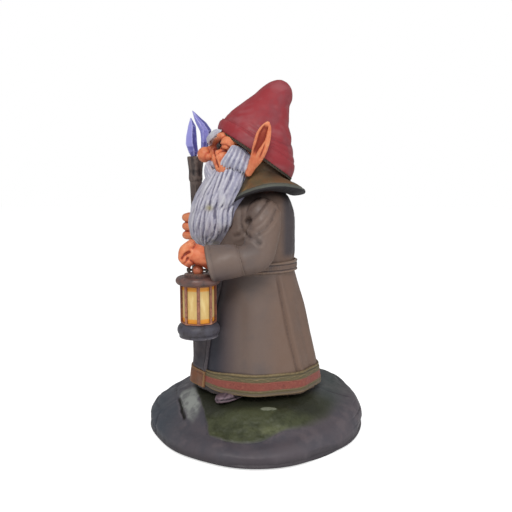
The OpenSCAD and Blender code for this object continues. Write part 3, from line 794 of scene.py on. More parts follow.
HEM_N = 1100
v = np.linspace(0, 1, 52)[:, None]
inner = skirt_grid(v.size, HEM_N, 0, 1.075)
lifted = hem_low(ring_angles(HEM_N)[None, :])
shrink = (inner[-1, :, 2] - lifted) / (inner[-1, :, 2] - inner[0, :, 2])
inner = inner[-1] + (inner - inner[-1]) * shrink[..., None]
outer = push(inner, HEM_THICK - 0.35 + hem_relief(ring_angles(HEM_N)[None, :], v, inner))
outer += fbm(inner, 24, 2, 62)[..., None] * 0.25 * grid_normals(inner)
piece("hem", skin(np.concatenate([outer, push(inner[::-1], -0.5)]), closed=True), HEM, replaces=["hem_band"],
      zones={"band_v": hem_v}, cavity_mm=0.2)


def slab(outer, inner):
    """A closed shell between two open grids of the same size."""
    m, n = outer.shape[:2]
    V = np.vstack([outer.reshape(-1, 3), inner.reshape(-1, 3)])
    i = np.arange(m * n).reshape(m, n)
    k = i + m * n

    def quads(a, b, c, d):
        return np.stack([a, b, c, d], -1).reshape(-1, 4).tolist()

    F = quads(i[:-1, :-1], i[:-1, 1:], i[1:, 1:], i[1:, :-1])
    F += quads(k[:-1, :-1], k[1:, :-1], k[1:, 1:], k[:-1, 1:])
    F += quads(i[0, :-1], k[0, :-1], k[0, 1:], i[0, 1:]) + quads(i[-1, 1:], k[-1, 1:], k[-1, :-1], i[-1, :-1])
    F += quads(i[:-1, 0], i[1:, 0], k[1:, 0], k[:-1, 0]) + quads(i[1:, -1], i[:-1, -1], k[:-1, -1], k[1:, -1])
    return V, F


def flap_grid(rows, z_from, z_to, n=ROUND):
    """The part of the skirt's surface under the front panel."""
    P = skirt_grid(rows, n, z_from, z_to)
    t = ring_angles(n)
    keep = (t >= FLAP[0] + 360) & (t <= FLAP[1] + 360)
    return P[:, keep], grid_normals(P)[:, keep], t[keep][None, :] - 360


P, N, t = flap_grid(180, 1.0, 5.0)
edge = smooth(np.minimum(t - FLAP[0], FLAP[1] - t), 0, 1.6)
swag = P[..., 2] - 0.010 * (t + 90) ** 2
d = 0.9 + 1.5 * edge + 0.45 * edge * np.sin(swag / 5.2 + 1.1 * fbm(P, 20, 2, 71)) + 0.25 * fbm(P, 8, 3, 72)
d -= 0.5 * bump(np.minimum(t - FLAP[0], FLAP[1] - t), 4.0, 0.7)
# the front panel's own darker cloth, painted darker still as shade below the lantern and arm
FRONT = plain_paint("front_paint", (60, 56, 64), (70, 60, 64), (28, 26, 32), (108, 100, 104), 0.6, 20)
piece("front_panel", slab(P + N * np.clip(d, 0.3, 2.7)[..., None], P - 0.3 * N), FRONT,
      replaces=["front_flap"])

P, N, t = flap_grid(52, 0.3, 0.985, HEM_N)
vv = np.linspace(0, 1, P.shape[0])[:, None]
edge = smooth(np.minimum(t - FLAP[0], FLAP[1] - t), 0, 1.2)
cords = 0.3 * bump(vv, 0.93, 0.04) + 0.25 * bump(vv, 0.1, 0.04) - 0.35 * bump(vv, 0.83, 0.03)
d = 2.55 * edge + 0.45 + edge * (cords + 0.22 * fbm(P, 3, 3, 73))
FLAP_HEM = plain_paint("flap_hem_paint", (128, 80, 52), (108, 76, 54), (60, 40, 28), (156, 126, 84), 0.55)
piece("front_panel_hem", slab(P + N * np.clip(d, 0.3, 3.0)[..., None], P + 0.9 * N), FLAP_HEM,
      replaces=["flap_hem"])

BELT_N = 640
s = curve([[-37, 148, 36, 148, 35], [-36.6, 153, 36, 153, 34.8], [-36.2, 158, 36, 158, 34.6]], 30)
P = oval_rings(s, BELT_N)
vv = np.linspace(0, 1, 30)[:, None]
t = ring_angles(BELT_N)[None, :]
stitch = 0.18 * np.sin(np.radians(t) * 150) * bump(vv, 0.5, 0.16)
d = 2.35 + 0.4 * bump(vv, 0.1, 0.07) + 0.4 * bump(vv, 0.9, 0.07)
d = d - 0.35 * bump(vv, 0.27, 0.05) - 0.35 * bump(vv, 0.73, 0.05)
d = d + stitch + 0.12 * fbm(P, 4, 3, 81) - 1.2 * (1 - smooth(np.minimum(vv, 1 - vv), 0, 0.06))
BELT = plain_paint("belt_paint", (108, 88, 78), (98, 84, 80), (46, 34, 32), (150, 126, 108), 0.5, 10)
piece("belt", skin(np.concatenate([push(P, d), push(P[::-1], -0.4)]), closed=True), BELT,
      replaces=["waist_belt"], cavity_mm=0.2)

# ---------------------------------------------------------------- coat top and arms

# x, y, z, half width and half thickness along each arm
ARM_LEFT = [[27, 8, 205, 9, 11], [35, 8, 200, 13, 13.5], [41, 7.5, 190, 14.5, 14], [46, 4.5, 177, 15, 14.5],
            [50, 0.5, 167, 14, 14.5], [51.5, -7, 163, 13, 13.5], [52, -17, 161.5, 12.5, 12.5]]
ARM_RIGHT = [[-27, 8, 204.5, 9, 11], [-35, 8, 200, 13, 13.4], [-41, 7.5, 190, 14.5, 14],
             [-46, 5, 179, 15, 14.5], [-49, 1, 170, 14, 14.5], [-49.5, -7, 168.5, 13, 13.5],
             [-48, -17, 171, 12.5, 12.5]]
# folds in the side view: y and z along each, then its width and depth
SLEEVE_FOLDS = [(((-8, 194), (0, 202), (6, 209), (10, 213)), 1.7, 1.5),
                (((-1, 185), (8, 190), (14, 197), (17.5, 205)), 1.8, 1.2),
                (((-14, 206), (-13, 196), (-12, 187)), 1.8, 1.2),
                (((-19, 181), (-10, 184.5), (-3, 182.5), (3, 178)), 1.7, 1.1),
                (((-7, 195), (-5, 188), (-6, 183)), 2.2, 0.8)]


def coat_shape(P):
    """Folds on the sleeves, faint ribs down the back and a slight unevenness."""
    sleeve = smooth(np.abs(P[:, 0]), 25, 32)
    back = smooth(P[:, 1], 18, 30) * (1 - sleeve) * smooth(P[:, 2], 212, 190)
    rib = 0.4 * np.sin(P[:, 0] / 3.4 + 0.05 * P[:, 2]) * back
    return -0.3 + creases(P, SLEEVE_FOLDS) * sleeve + rib + 0.5 * fbm(P, 15, 2, 91) + 0.15 * fbm(P, 3, 2, 92)


def collar_height(P):
    """Height above the collar's lower outer edge, which rises to the back and the shoulders."""
    a = np.arctan2((P[:, 1] - 7.5) / 37, P[:, 0] / 44)
    return P[:, 2] - (210.75 + 6.75 * np.sin(a) + 10 * np.cos(a) ** 2)


def pair(build):
    """A left piece and its mirror image."""
    V, F = build
    return join([(V, F), (V * [-1, 1, 1], [f[::-1] for f in F])])


coat = [skin(ovals(TORSO, 160, 360)), sweep(ARM_LEFT, 90, 90), sweep(ARM_RIGHT, 90, 90),
        pair(blob([30, 6, 199], [13, 14, 16])), pair(blob([36, 8, 193], [12, 14, 15]))]
piece("coat_top", join(coat), ROBE, voxel=0.7, rounds=6, shape=coat_shape, cavity_mm=0.7,
      replaces=["robe_torso", "sleeve_left", "sleeve_right"],
      zones={"shade": lambda P: smooth(collar_height(P) + 1.5 * fbm(P, 8, 2, 94), -9, -2)})


CUFF_THICK = 2.6


def cuff_rings(out, rows, n):
    """The bell of the left cuff from wrist to mouth: centre x, half width, top y, z, bottom y, z, lean."""
    s = curve([[52, 14.4, -15, 174.5, -9, 150, 0], [52, 15, -19, 176.5, -13, 148.5, 0],
               [53, 15, -31, 176, -24, 146.5, 2], [54, 14.5, -44, 175.5, -36, 145, 5]], rows)
    t = np.radians(ring_angles(n))[None, :]
    c, sn = np.cos(t), np.sin(t)
    k = [s[:, i:i + 1] for i in range(7)]
    P = np.stack([k[0] + k[1] * c - k[6] * sn, (k[2] + k[4]) / 2 + (k[2] - k[4]) / 2 * sn,
                  (k[3] + k[5]) / 2 + (k[3] - k[5]) / 2 * sn], -1)
    centre = P.mean(1, keepdims=True)
    away = P - centre
    return P + away / np.linalg.norm(away, axis=-1, keepdims=True) * np.asarray(out)[..., None]


def cuff_shell():
    rows, n = ((80, 320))
    v = np.linspace(0, 1, rows)[:, None]
    base = cuff_rings(0, rows, n)
    mouth = 0.2 * bump(v, 0.97, 0.05) - 0.2 * bump(v, 0.88, 0.03) + 0.5 * bump(v, 0.03, 0.06)
    out = -0.4 + mouth + 0.5 * fbm(base, 16, 2, 95) - 1.0 * (1 - smooth(1 - v, 0, 0.03))
    lining = cuff_rings(-CUFF_THICK, rows, n)[::-1]
    return skin(np.concatenate([cuff_rings(out, rows, n), lining]), closed=True)


def raised_right(V):
    """Turns a left forearm piece into a right one, raised to the staff."""
    V = (V * [-1, 1, 1]) + [50, -5, -165]
    for i, j, turn in ((1, 2, -22), (0, 1, 9)):
        c, s = math.cos(math.radians(turn)), math.sin(math.radians(turn))
        W = V.copy()
        W[:, i], W[:, j] = c * V[:, i] - s * V[:, j], s * V[:, i] + c * V[:, j]
        V = W
    return V + [-50, 5, 167]


cuff_V, cuff_F = cuff_shell()
cuff = piece("cuff_left", (cuff_V, cuff_F), ROBE, cavity_mm=0.25)
trim(cuff, rod_shell(LANTERN[0], LANTERN[1], 96.5, 150.6, 21.6))
piece("cuff_right", (raised_right(cuff_V), [f[::-1] for f in cuff_F]), ROBE, cavity_mm=0.25)

# ---------------------------------------------------------------- hands

FINGER_X = (42.5, 49.0, 55.5)


def hand_marks(P):
    """The crease where the fingers fold into the palm, and slight unevenness."""
    lines = ((((-62, 165), (-59, 168.5), (-55.5, 170.5)), 1.1, 1.1),
             (((-60, 160.5), (-58, 163), (-57, 166)), 0.9, 0.5))
    return 0.12 * fbm(P, 4, 3, 101) + creases(P, lines, 0.4)


fist = [sweep([[50, -55, 168.5, 9, 8.5], [50.5, -50, 167.6, 10, 8.6], [51.5, -43, 164.2, 9.4, 8.4],
               [52, -34, 161.4, 7.6, 7.4], [52, -25, 161, 7, 7]], 40, 50)]
fist += [blob([50, -54, 169], [9.6, 7.6, 8.6])]
for x in FINGER_X:
    fist.append(rod([[x, -55.5, 176], [x, -60.8, 171.5], [x, -61, 164.5], [x, -56, 160.4]], 3.9, 3.6))
fist += [rod([[41.5, -44, 164], [41.5, -51, 163.5], [45, -57.5, 162.5]], 4.2, 3.5)]
# the fist's inner zone is painted shade under the curled fingers
left = piece("fist_left", join(fist), SKIN, voxel=0.55, rounds=7, shape=hand_marks, replaces=["hand_left"],
             zones={"inner": lambda P: 0.8 * smooth(P[:, 2], 162.5, 159.5) * smooth(P[:, 1], -59, -56)},
             cavity_mm=0.22)
trim(left, rod_shell(LANTERN[0], LANTERN[1], 146, 159.3, 10.4))


def staff_finger(z, r, start, end):
    a = np.radians(np.linspace(start, end, 12))
    ring = np.column_stack([STAFF_AT[0] + 10.2 * np.cos(a), STAFF_AT[1] + 10.2 * np.sin(a), z + 0 * a])
    return join([rod(ring, r, r * 0.9)] + [blob(ring[k], [r * 1.06] * 3) for k in (3, 7)])


grip = [sweep([[-40, -55, 184.5, 8.6, 9.4], [-41, -49, 184, 10, 10.6], [-42, -42, 181.5, 9, 9.2],
               [-43, -34, 179, 8, 8], [-43.5, -28, 177.5, 7.6, 7.6]], 40, 50)]
grip += [staff_finger(z, 4.5, 60, 330) for z in (176.6, 185.4, 194.2)]
grip += [rod([[-35, -48, 189], [-31, -52, 190.5], [-27.5, -57, 191]], 4.3, 3.6)]
grip += [blob([-27.5, -57, 191], [3.8, 3.8, 3.5])]
right = piece("fist_right", join(grip), SKIN, voxel=0.55, rounds=3, replaces=["hand_right"],
              shape=lambda P: 0.12 * fbm(P, 4, 3, 103), cavity_mm=0.22)
trim(right, rod_shell(STAFF_AT[0], STAFF_AT[1], 150, 220, STAFF_BORE))

# ---------------------------------------------------------------- head

HEAD = [[-12, 214, 16, 212, 16], [-22, 224, 20, 218, 22], [-32, 236, 24, 224, 28],
        [-37, 250, 27, 229, 31], [-37, 262, 28, 232, 32], [-32, 271, 27, 234, 31]]


def face_shape(P):
    """Eye sockets and the folds of the cheeks."""
    lines = ((((-37.5, 258), (-36, 249.6), (-33, 241.5)), 0.9, 1.2),
             (((-31, 260.5), (-26, 260), (-21, 256.5), (-19, 252)), 0.8, 0.9),
             (((-35.5, 251.5), (-31, 255), (-26, 255.5)), 0.8, 0.7))
    return 0.15 * fbm(P, 5, 3, 111) - 2.6 * eye_zone(P) + creases(P, lines, 0.35, 2.4)


def eye_zone(P):
    """The hollow round each eye."""
    return bump(np.hypot(np.abs(P[:, 0]) - 12.5, (P[:, 2] - 261.4) * 1.1), 0, 5.4) * smooth(P[:, 1], -22, -27)


def bridge_zone(P):
    return bump(np.hypot(np.abs(P[:, 0]) - 4, P[:, 2] - 259), 0, 4.5) * smooth(P[:, 1], -30, -36)


face = [skin(ovals(HEAD, 60, 90)), blob([0, -34, 261], [8, 7, 9])]
face += [pair(blob([19, -30, 249], [11, 9, 8.5])), pair(blob([24, -23.5, 262], [7.5, 7.5, 6.5])),
         pair(blob([4.5, -37, 256], [4.5, 5.5, 7])), pair(blob([22, -27, 243], [9, 9, 10])),
         pair(blob([17, -29, 268.5], [8, 6, 4])), blob([0, -35, 246], [13, 7, 9])]
# the head's inner and eye zones are painted shade in the eye sockets and beside the bridge of the nose
piece("head", join(face), SKIN, voxel=0.7, rounds=4, shape=face_shape,
      zones={"inner": lambda P: np.clip(1.2 * eye_zone(P) + 0.6 * bridge_zone(P), 0, 1), "eye": eye_zone},
      cavity_mm=0.25)

ball = [blob([0, -46.8, 253.6], [7.2, 7.0, 7.2], 40, 30), blob([0, -40, 257.5], [5, 6, 5]),
        pair(blob([4.8, -42.8, 251.6], [3.4, 3.8, 3.4]))]
# the nose's inner zone is painted shade on its underside
piece("nose", join(ball), SKIN, voxel=0.45, rounds=3, shape=lambda P: 0.06 * fbm(P, 3, 3, 113),
      zones={"inner": lambda P: 0.35 * bump(P[:, 2], 249.5, 1.6)}, cavity_mm=0.2)

EYE = plain_paint("eye_paint", (26, 20, 20), (36, 26, 24), (14, 10, 12), (70, 62, 62), 0.3)
piece("eyes", pair(blob([12.5, -32.4, 260.4], [3.0, 3.0, 3.0])), EYE)


# x, y, z, half thickness and half width up the left ear
EAR = np.array([[34, -6.5, 235, 3, 2.6], [37.5, -3.5, 241.5, 3.4, 3.8], [42, 0.6, 249, 3.1, 5.6],
                [46, 3.6, 257, 2.6, 6.6], [48, 6.4, 267, 2.2, 6.4], [49, 9.0, 274, 1.5, 4.0],
                [49, 10.4, 277.8, 0.7, 1.1]])


def ear_place(P):
    """How far up the ear a point is in mm, across it from -1 to 1, and out from its middle."""
    lean = P[:, 2] + 0.42 * P[:, 1]
    level = EAR[:, 2] + 0.42 * EAR[:, 1]
    y, x, wide = (np.interp(lean, level, EAR[:, k]) for k in (1, 0, 4))
    return lean, (P[:, 1] - y) / wide, np.abs(P[:, 0]) - x


def ear_hollow(P):
    """The hollow between the front edge, the rim along the back and the inner ridge."""
    lean, across, out = ear_place(P)
    back = 0.42 - 0.5 * smooth(lean, 268, 252)
    front = -0.72 - 0.1 * smooth(lean, 262, 252)
    inside = smooth(across, front, front + 0.2) * smooth(across, back, back - 0.2)
    return inside * smooth(lean, 248, 256) * smooth(lean, 280, 275) * smooth(out, -1.0, 0.4)


def ear_shape(P):
    lean, across, out = ear_place(P)
    groove = bump(across, 0.4, 0.16) * smooth(out, -1.0, 0.4)
    groove *= smooth(lean, 244, 254) * smooth(lean, 268, 262)
    return -2.0 * ear_hollow(P) - 0.7 * groove + 0.1 * fbm(P, 4, 2, 115)


ear = [sweep(EAR, 60, 90), blob([35.0, -6.4, 237], [2.8, 2.8, 4.0]),
       sweep([[29, -3, 245, 4, 4], [35, -2.5, 244, 4, 4.5], [39, -1.5, 246, 3, 4]], 30, 20)]
for side, name in ((1, "left"), (-1, "right")):
    V, F = join(ear)
    # the ear's inner zone is painted shade in its hollow
    piece("ear_" + name, (V * [side, 1, 1], F if side > 0 else [f[::-1] for f in F]), SKIN, voxel=0.45,
          rounds=3, shape=ear_shape, cavity_mm=0.2, zones={"inner": ear_hollow})

# ---------------------------------------------------------------- hair

BEARD = [[-46, 166, -36, 166, 6], [-53, 171, -24, 171, 14], [-58.5, 180, -10, 180, 23.5],
         [-60.5, 192, -4, 192, 29], [-59.5, 203, -3, 203, 30.5], [-53, 217, 1, 217, 31.5],
         [-47, 229, 6, 229, 32.3], [-41.5, 240, 6, 240, 31.8]]
BEARD_LOW = 166.0
# top, length, number and thickness of the locks in each tier
TIERS = ((240, 38, 34, 2.3), (230, 36, 34, 2.3), (208, 36, 30, 2.3), (197, 28, 24, 2.1), (184, 17, 16, 1.9))


def beard_point(angle, z, out):
    """A point on the beard's outer form, at an angle in degrees and a height."""
    rows = np.array(BEARD, float)
    fy, by, w = (np.interp(z, rows[:, 1], rows[:, k]) for k in (0, 2, 4))
    a = math.radians(angle)
    n = np.array([math.cos(a) / max(w, 1), math.sin(a) / max((by - fy) / 2, 1), 0.0])
    n /= np.linalg.norm(n)
    return np.array([w * math.cos(a), (fy + by) / 2 + (by - fy) / 2 * math.sin(a), z]) + n * out


def strands(angle, t, count=5, depth=0.1):
    """Grooves along a lock."""
    return 1 - depth * (0.5 + 0.5 * np.cos(count * angle + 1.2 * np.sin(5 * t)))


def lock(points, fat, count=5):
    """A lock of hair tapering to a point."""
    p = curve(points, 9)
    u = np.linspace(0, 1, 9)
    size = fat * (0.55 + 0.6 * np.sin(np.pi * np.clip(u * 0.9 + 0.08, 0, 1)))
    size *= 1 - 0.78 * smooth(u, 0.6, 1.0)
    return sweep(np.column_stack([p, size, 0.8 * size]), 20, 34, lambda a, t: strands(a, t, count))


def beard_locks():
    """Five overlapping tiers of fine locks that fall to the beard's tip."""
    rng = np.random.default_rng(7)
    out = []
    for top, length, count, fat in TIERS:
        for k in range(count):
            spread = 114 if top > 205 else 94
            a0 = 270 + spread * (2 * (k + 0.5) / count - 1) + rng.uniform(-2, 2)
            z1 = max(top - length * rng.uniform(0.85, 1.12) + abs(a0 - 270) * 0.06, BEARD_LOW + 2.5)
            sway, phase = rng.uniform(1, 4) * rng.choice([-1, 1]), rng.uniform(0, 3)
            lift = 1.0 if abs(a0 - 270) < 50 else 0.6
            path = []
            for u in np.linspace(0, 1, 6):
                z = top + (z1 - top) * u
                angle = a0 + (270 - a0) * (0.12 if top < 205 else 0.05) * u + sway * math.sin(4.2 * u + phase)
                out_mm = -1.4 + lift * (2.0 * smooth(u, 0.0, 0.6) - 1.1 * smooth(u, 0.7, 1.0))
                path.append(beard_point(angle, z, out_mm))
            out.append(lock(path, fat * rng.uniform(0.85, 1.2)))
    return out


def gold_zone(P):
    """Warm stains where the tiers part and near the beard's tip."""
    part = bump(np.hypot(P[:, 1] + 41, (P[:, 2] - 206) * 1.4), 0, 3.5)
    return np.clip(part + 0.6 * bump(P[:, 2], 172, 6) * smooth(fbm(P, 6, 2, 123), -0.2, 0.3), 0, 1)


def hair_flow(P):
    return 0.22 * fbm(P * [1, 1, 0.22], 1.7, 3, 121) + 0.1 * fbm(P, 1.4, 2, 122)


core = ovals(np.array(BEARD) + [0.9, 0, -1, 0, -1], 50, 120)
piece("beard", join([skin(core)] + beard_locks()), HAIR, voxel=0.5, rounds=2, shape=hair_flow,
      zones={"gold": gold_zone}, cavity_mm=0.3)

tash = []
for dy, dz, fat in ((0, 1.0, 2.8), (0.6, 3.4, 2.4), (-0.6, -1.6, 2.6), (-0.4, -4.0, 2.4), (1.0, -6.0, 2.2),
                    (1.6, 4.6, 1.8)):
    tash.append(lock([[1.2, -42.5 + dy, 245.5 + 0.4 * dz], [8, -44.5 + dy, 241 + dz],
                      [15, -41.5 + dy, 234 + dz], [21, -36.5 + dy, 226.5 + 0.8 * dz],
                      [24, -33.5 + dy, 220 + 0.8 * dz]], fat))
tash += [blob([0, -38.6, 245.2], [8, 5.4, 4.6]), blob([6, -38.4, 243], [7, 5.6, 5])]
piece("moustache", pair(join(tash)), HAIR, voxel=0.45, rounds=2, shape=hair_flow, cavity_mm=0.25)

tufts = []
for k in range(11):
    u = k / 10
    ty, tz, by, bz = -20 + 15.5 * u, 259.5 - 8.5 * u * u, -31 + 23.5 * u, 241 - 6.5 * u
    bulge = 1.2 * math.sin(math.pi * u) + 0.7 * (k % 2)
    tufts.append(lock([[29.5, ty, tz], [33 + bulge, 0.65 * ty + 0.35 * by, 0.6 * tz + 0.4 * bz],
                       [34 + bulge - 3 * (1 - u), 0.2 * ty + 0.8 * by, 0.25 * tz + 0.75 * bz],
                       [32.8 - 4.5 * (1 - u), by - 0.6, bz - 1.2 * (k % 3)]], 2.3, 3))
piece("whiskers", pair(join(tufts)), HAIR, voxel=0.45, rounds=2, shape=hair_flow, cavity_mm=0.25)

brow = []
for dy, dz, fat in ((0, 0, 2.7), (0.4, 1.5, 2.2), (-0.2, -1.6, 2.1)):
    brow.append(lock([[2.5, -41.5 + dy, 264 + dz], [7, -42.5 + dy, 267 + dz], [13, -39 + dy, 270 + dz],
                      [18, -34.5 + dy, 272.3 + dz], [22, -30 + dy, 273 + 0.5 * dz]], fat, 3))
piece("eyebrows", pair(join(brow)), HAIR, voxel=0.45, rounds=3, shape=hair_flow, cavity_mm=0.3)

# ---------------------------------------------------------------- collar and hat

COLLAR_RINGS = [[-29.5, 204, 44.5, 217.5, 44, 10], [-30, 208, 45.3, 222, 45, 10],
                [-27, 215, 38.5, 226.5, 38, 11], [-24, 222, 31, 228, 33, 13],
                [-21, 228.5, 28, 229, 31, 16.5], [-19, 212, 24, 222, 22, 5], [-26, 207, 33, 216, 33, 8]]

COLLAR_N = 900
P = ovals(COLLAR_RINGS, 180, COLLAR_N, closed=True)
height = collar_height(P.reshape(-1, 3)).reshape(P.shape[:2])
drape = 0.5 * np.sin(np.radians(ring_angles(COLLAR_N)) * 13 + 0.8 * fbm(P, 30, 2, 131))
d = -0.45 + 0.25 * smooth(height, 6, 12) * (drape - 0.4) + 0.3 * fbm(P, 9, 3, 132)
d -= 0.35 * bump(height, 6.2, 0.6)
# the collar's under zone is painted shade on its underside
collar = piece("collar", skin(push(P, d, True), closed=True), COLLAR, cavity_mm=0.25,
               zones={"rim": lambda P: smooth(collar_height(P) + 0.5 * fbm(P, 9, 2, 133), 6.4, 5.2),
                      "under": lambda P: smooth(collar_height(P) + 0.4 * fbm(P, 9, 2, 134), 3.5, 2.7)})
# the collar stands open in front: y at each height of the opening's edge
EDGE_Z, EDGE_Y = [190, 200, 214.6, 222, 233, 250], [-60, -27, -17.8, -10.4, -4.4, -2]
bm = bmesh.new()
bm.from_mesh(collar.data)
gone = [v for v in bm.verts if v.co.y < MM * np.interp(v.co.z / MM, EDGE_Z, EDGE_Y)]
bmesh.ops.delete(bm, geom=gone, context="VERTS")
bmesh.ops.holes_fill(bm, edges=[e for e in bm.edges if e.is_boundary], sides=0)
bm.to_mesh(collar.data)
bm.free()

HAT_ROWS = [[-31.5, 274.5, 30.5, 234, 36], [-30.5, 282, 33.5, 246, 37.2], [-26.4, 288.5, 34, 257, 35],
            [-19, 295, 31.4, 273, 30], [-10, 301.5, 30.2, 285.5, 24.5], [-2, 307, 31.2, 296, 19.5],
            [5, 313.2, 33.2, 304, 15.5], [12, 318, 32.8, 311, 11], [17.5, 320, 29.5, 316.5, 6.5],
            [21.5, 320.4, 25.5, 319.2, 2]]


def hat_folds(P, row, t):
    """Three shallow folds that run round the hat, deepest at the back where it is pushed down."""
    back = smooth(np.sin(np.radians(t)), -0.6, 0.8)
    sway = 0.5 * fbm(P, 34, 2, 141)
    d = 0.0
    for at, depth, width in ((2.1, 0.9, 0.16), (3.5, 0.6, 0.3), (5.1, 0.5, 0.35)):
        centre = at + 0.25 * np.sin(np.radians(t) * 2 + at * 2) + sway
        strength = depth * (0.25 + 0.75 * back) * smooth(fbm(P, 40, 1, 145), -0.6, 0.2)
        d = d + strength * (0.5 * bump(row, centre + 2.2 * width, 1.5 * width) - bump(row, centre, width))
    return d + 0.5 * fbm(P, 26, 2, 142) + 0.1 * fbm(P, 6, 2, 143)


rows = 230
P = ovals(HAT_ROWS, rows, ROUND)
t = ring_angles(ROUND)[None, :]
row = np.linspace(0, 9, rows)[:, None]
d = np.clip(hat_folds(P, row, t) - 0.25, -1.6, 0.2)
piece("hat", skin(push(P, d)), HAT, replaces=["hat_cone"], cavity_mm=0.45)

ROLL_RINGS = [[-34.2, 274.8, 32.4, 231.6, 38.0], [-35, 277.2, 34.4, 235.2, 39.8],
              [-34.4, 280, 35.8, 240, 40.2], [-33, 283.4, 35.8, 246, 39.2], [-30.6, 286, 34.2, 251.5, 37.2],
              [-29.5, 284, 31.5, 248, 34.5], [-31.2, 276, 30.5, 236, 35.5]]
P = ovals(ROLL_RINGS, 150, COLLAR_N, closed=True)
lean = P[..., 2] + (P[..., 1] * 0.6)
d = -0.4 - 0.7 * bump(lean - 1.5 * fbm(P, 24, 2, 151), 266.5, 1.3)
d += 0.5 * fbm(P, 22, 2, 152) + 0.1 * fbm(P, 5, 2, 153)
piece("hat_roll", skin(push(P, np.clip(d, -1.5, 0.1), True), closed=True), HAT, cavity_mm=0.4)

TRIM = plain_paint("trim_paint", (66, 56, 46), (52, 48, 40), (24, 20, 18), (124, 108, 84), 0.6, 8)
TRIM_RINGS = [[-33, 272, 31.4, 229.8, 37.6], [-34.2, 273.6, 32.3, 231, 38.4],
              [-34.4, 275.4, 32.6, 232.2, 38.6], [-29, 273, 28, 235, 33], [-28.5, 270.5, 27.5, 232.5, 32.3]]
P = ovals(TRIM_RINGS, 70, COLLAR_N, closed=True)
around = np.radians(ring_angles(COLLAR_N))[None, :] * 75
twist = 0.16 * np.sin(around + np.linspace(0, 9, P.shape[0])[:, None])
piece("hat_trim", skin(push(P, -0.2 + twist, True), closed=True), TRIM, cavity_mm=0.2)

# ---------------------------------------------------------------- staff and crystals


def staff_grain(P):
    around = np.arctan2(P[:, 1] - STAFF_AT[1], P[:, 0] - STAFF_AT[0])
    q = np.column_stack([6 * np.cos(around), 6 * np.sin(around), 0.09 * P[:, 2]])
    knot = sum(bump(np.hypot(turn_gap(np.degrees(around), a) * 0.09, (P[:, 2] - z) * 0.6), 0, 1.1)
               for a, z in ((-20, 70), (150, 118), (10, 152), (-60, 214)))
    return -0.42 + 0.34 * fbm(q, 2.4, 3, 161) - 0.3 * knot


n, m = ((120, 420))
z = np.linspace(21, 230, m)
radius = np.interp(z, [21, 206, 230], [5.4, 5.4, 6.4])
s = np.column_stack([STAFF_AT[0] + 0 * z, STAFF_AT[1] + 0 * z, z, radius, radius])
piece("staff_shaft", sweep(s, n, m), STAFF, body="staff", shape=staff_grain, cavity_mm=0.15)


def cup_shell():
    """The flared socket: outside up, over the lip and down inside."""
    rows = curve([[0.1, 229.6], [6.3, 230], [7.0, 240], [8.0, 249], [8.5, 253], [8.2, 253.9], [7.0, 253.6],
                  [6.7, 250], [6.4, 247.4], [0.1, 247]], 90)
    a = np.radians(ring_angles(120))[None, :]
    r, zz = rows[:, 0:1], rows[:, 1:2]
    ribs = -0.5 * smooth(zz, 231, 238) * smooth(r, 5, 7) * (0.5 + 0.5 * np.cos(7 * a + 0.06 * zz))
    r = np.maximum(r + ribs, 0.05)
    return skin(np.stack([STAFF_AT[0] + r * np.cos(a), STAFF_AT[1] + r * np.sin(a), zz + 0 * a], -1))


piece("staff_head", cup_shell(), STAFF, body="staff", cavity_mm=0.15,
      shape=lambda P: -0.12 + 0.16 * fbm(P, 2.2, 3, 163))


def crystal(rows, turn):
    """Flat facets between uneven six-sided rings."""
    s = np.array(rows, float)
    a = np.radians(np.arange(6) * 60 + turn)
    uneven = 1 + 0.07 * np.cos(a * 2 + 1)
    P = np.stack([s[:, 0:1] + s[:, 3:4] * uneven * np.cos(a), s[:, 1:2] + s[:, 4:5] * uneven * np.sin(a),
                  s[:, 2:3] + 0.9 * np.sin(3 * a + s[:, 2:3])], -1)
    return skin(P)


def facet_light_rule(rows, turn):
    """The zone rule that gives each facet painted light and shade: lightest towards the front and the camera,
    darker away from them and on the lowest band.
    """
    s = np.array(rows, float)

    def rule(P):
        x, y, rx, ry = (np.interp(P[:, 2], s[:, 2], s[:, k]) for k in (0, 1, 3, 4))
        a = np.arctan2((P[:, 1] - y) / np.maximum(ry, 0.5), (P[:, 0] - x) / np.maximum(rx, 0.5))
        side = np.radians(np.floor((np.degrees(a) - turn) / 60) * 60 + 30 + turn)
        low = P[:, 2] < s[3, 2] - 2.5
        return np.clip(0.55 - 0.45 * np.sin(side) + 0.12 * np.sin(3 * side + s[0, 1]) - 0.5 * low, 0, 1)

    return rule


TALL = [[-38, -61.2, 247.2, 2.6, 2.6], [-38, -61.2, 254.5, 3.4, 3.2], [-38, -61.5, 258.6, 4.8, 5.6],
        [-38, -63.3, 266, 5.6, 6.6], [-38, -63.2, 273.6, 5.4, 6], [-38, -62.6, 283, 4.2, 4.5],
        [-38, -63.7, 291.2, 0.5, 0.5]]
LEANING = [[-38, -57, 247.2, 2.2, 2.2], [-38, -55.8, 254, 2.6, 2.6], [-38, -50.8, 262, 3.6, 3.4],
           [-38, -49.3, 270.5, 4.4, 4.9], [-38, -49.2, 279, 4.2, 5.8], [-38, -53.5, 286, 3.6, 5.1],
           [-38, -57.3, 291, 2.4, 3.3], [-38, -61.9, 297.7, 0.4, 0.4]]
CRYSTAL = crystal_paint()
for name, rows, turn in (("crystal_tall", TALL, 12), ("crystal_leaning", LEANING, 35)):
    piece(name, crystal(rows, turn), CRYSTAL, body="staff", voxel=0.3, rounds=0,
          zones={"facet_light": facet_light_rule(rows, turn)}, shape=lambda P: 0.05 * fbm(P, 2.5, 3, 171) - 0.05,
          cavity_mm=0.12)

# ---------------------------------------------------------------- paints of the CAD pieces

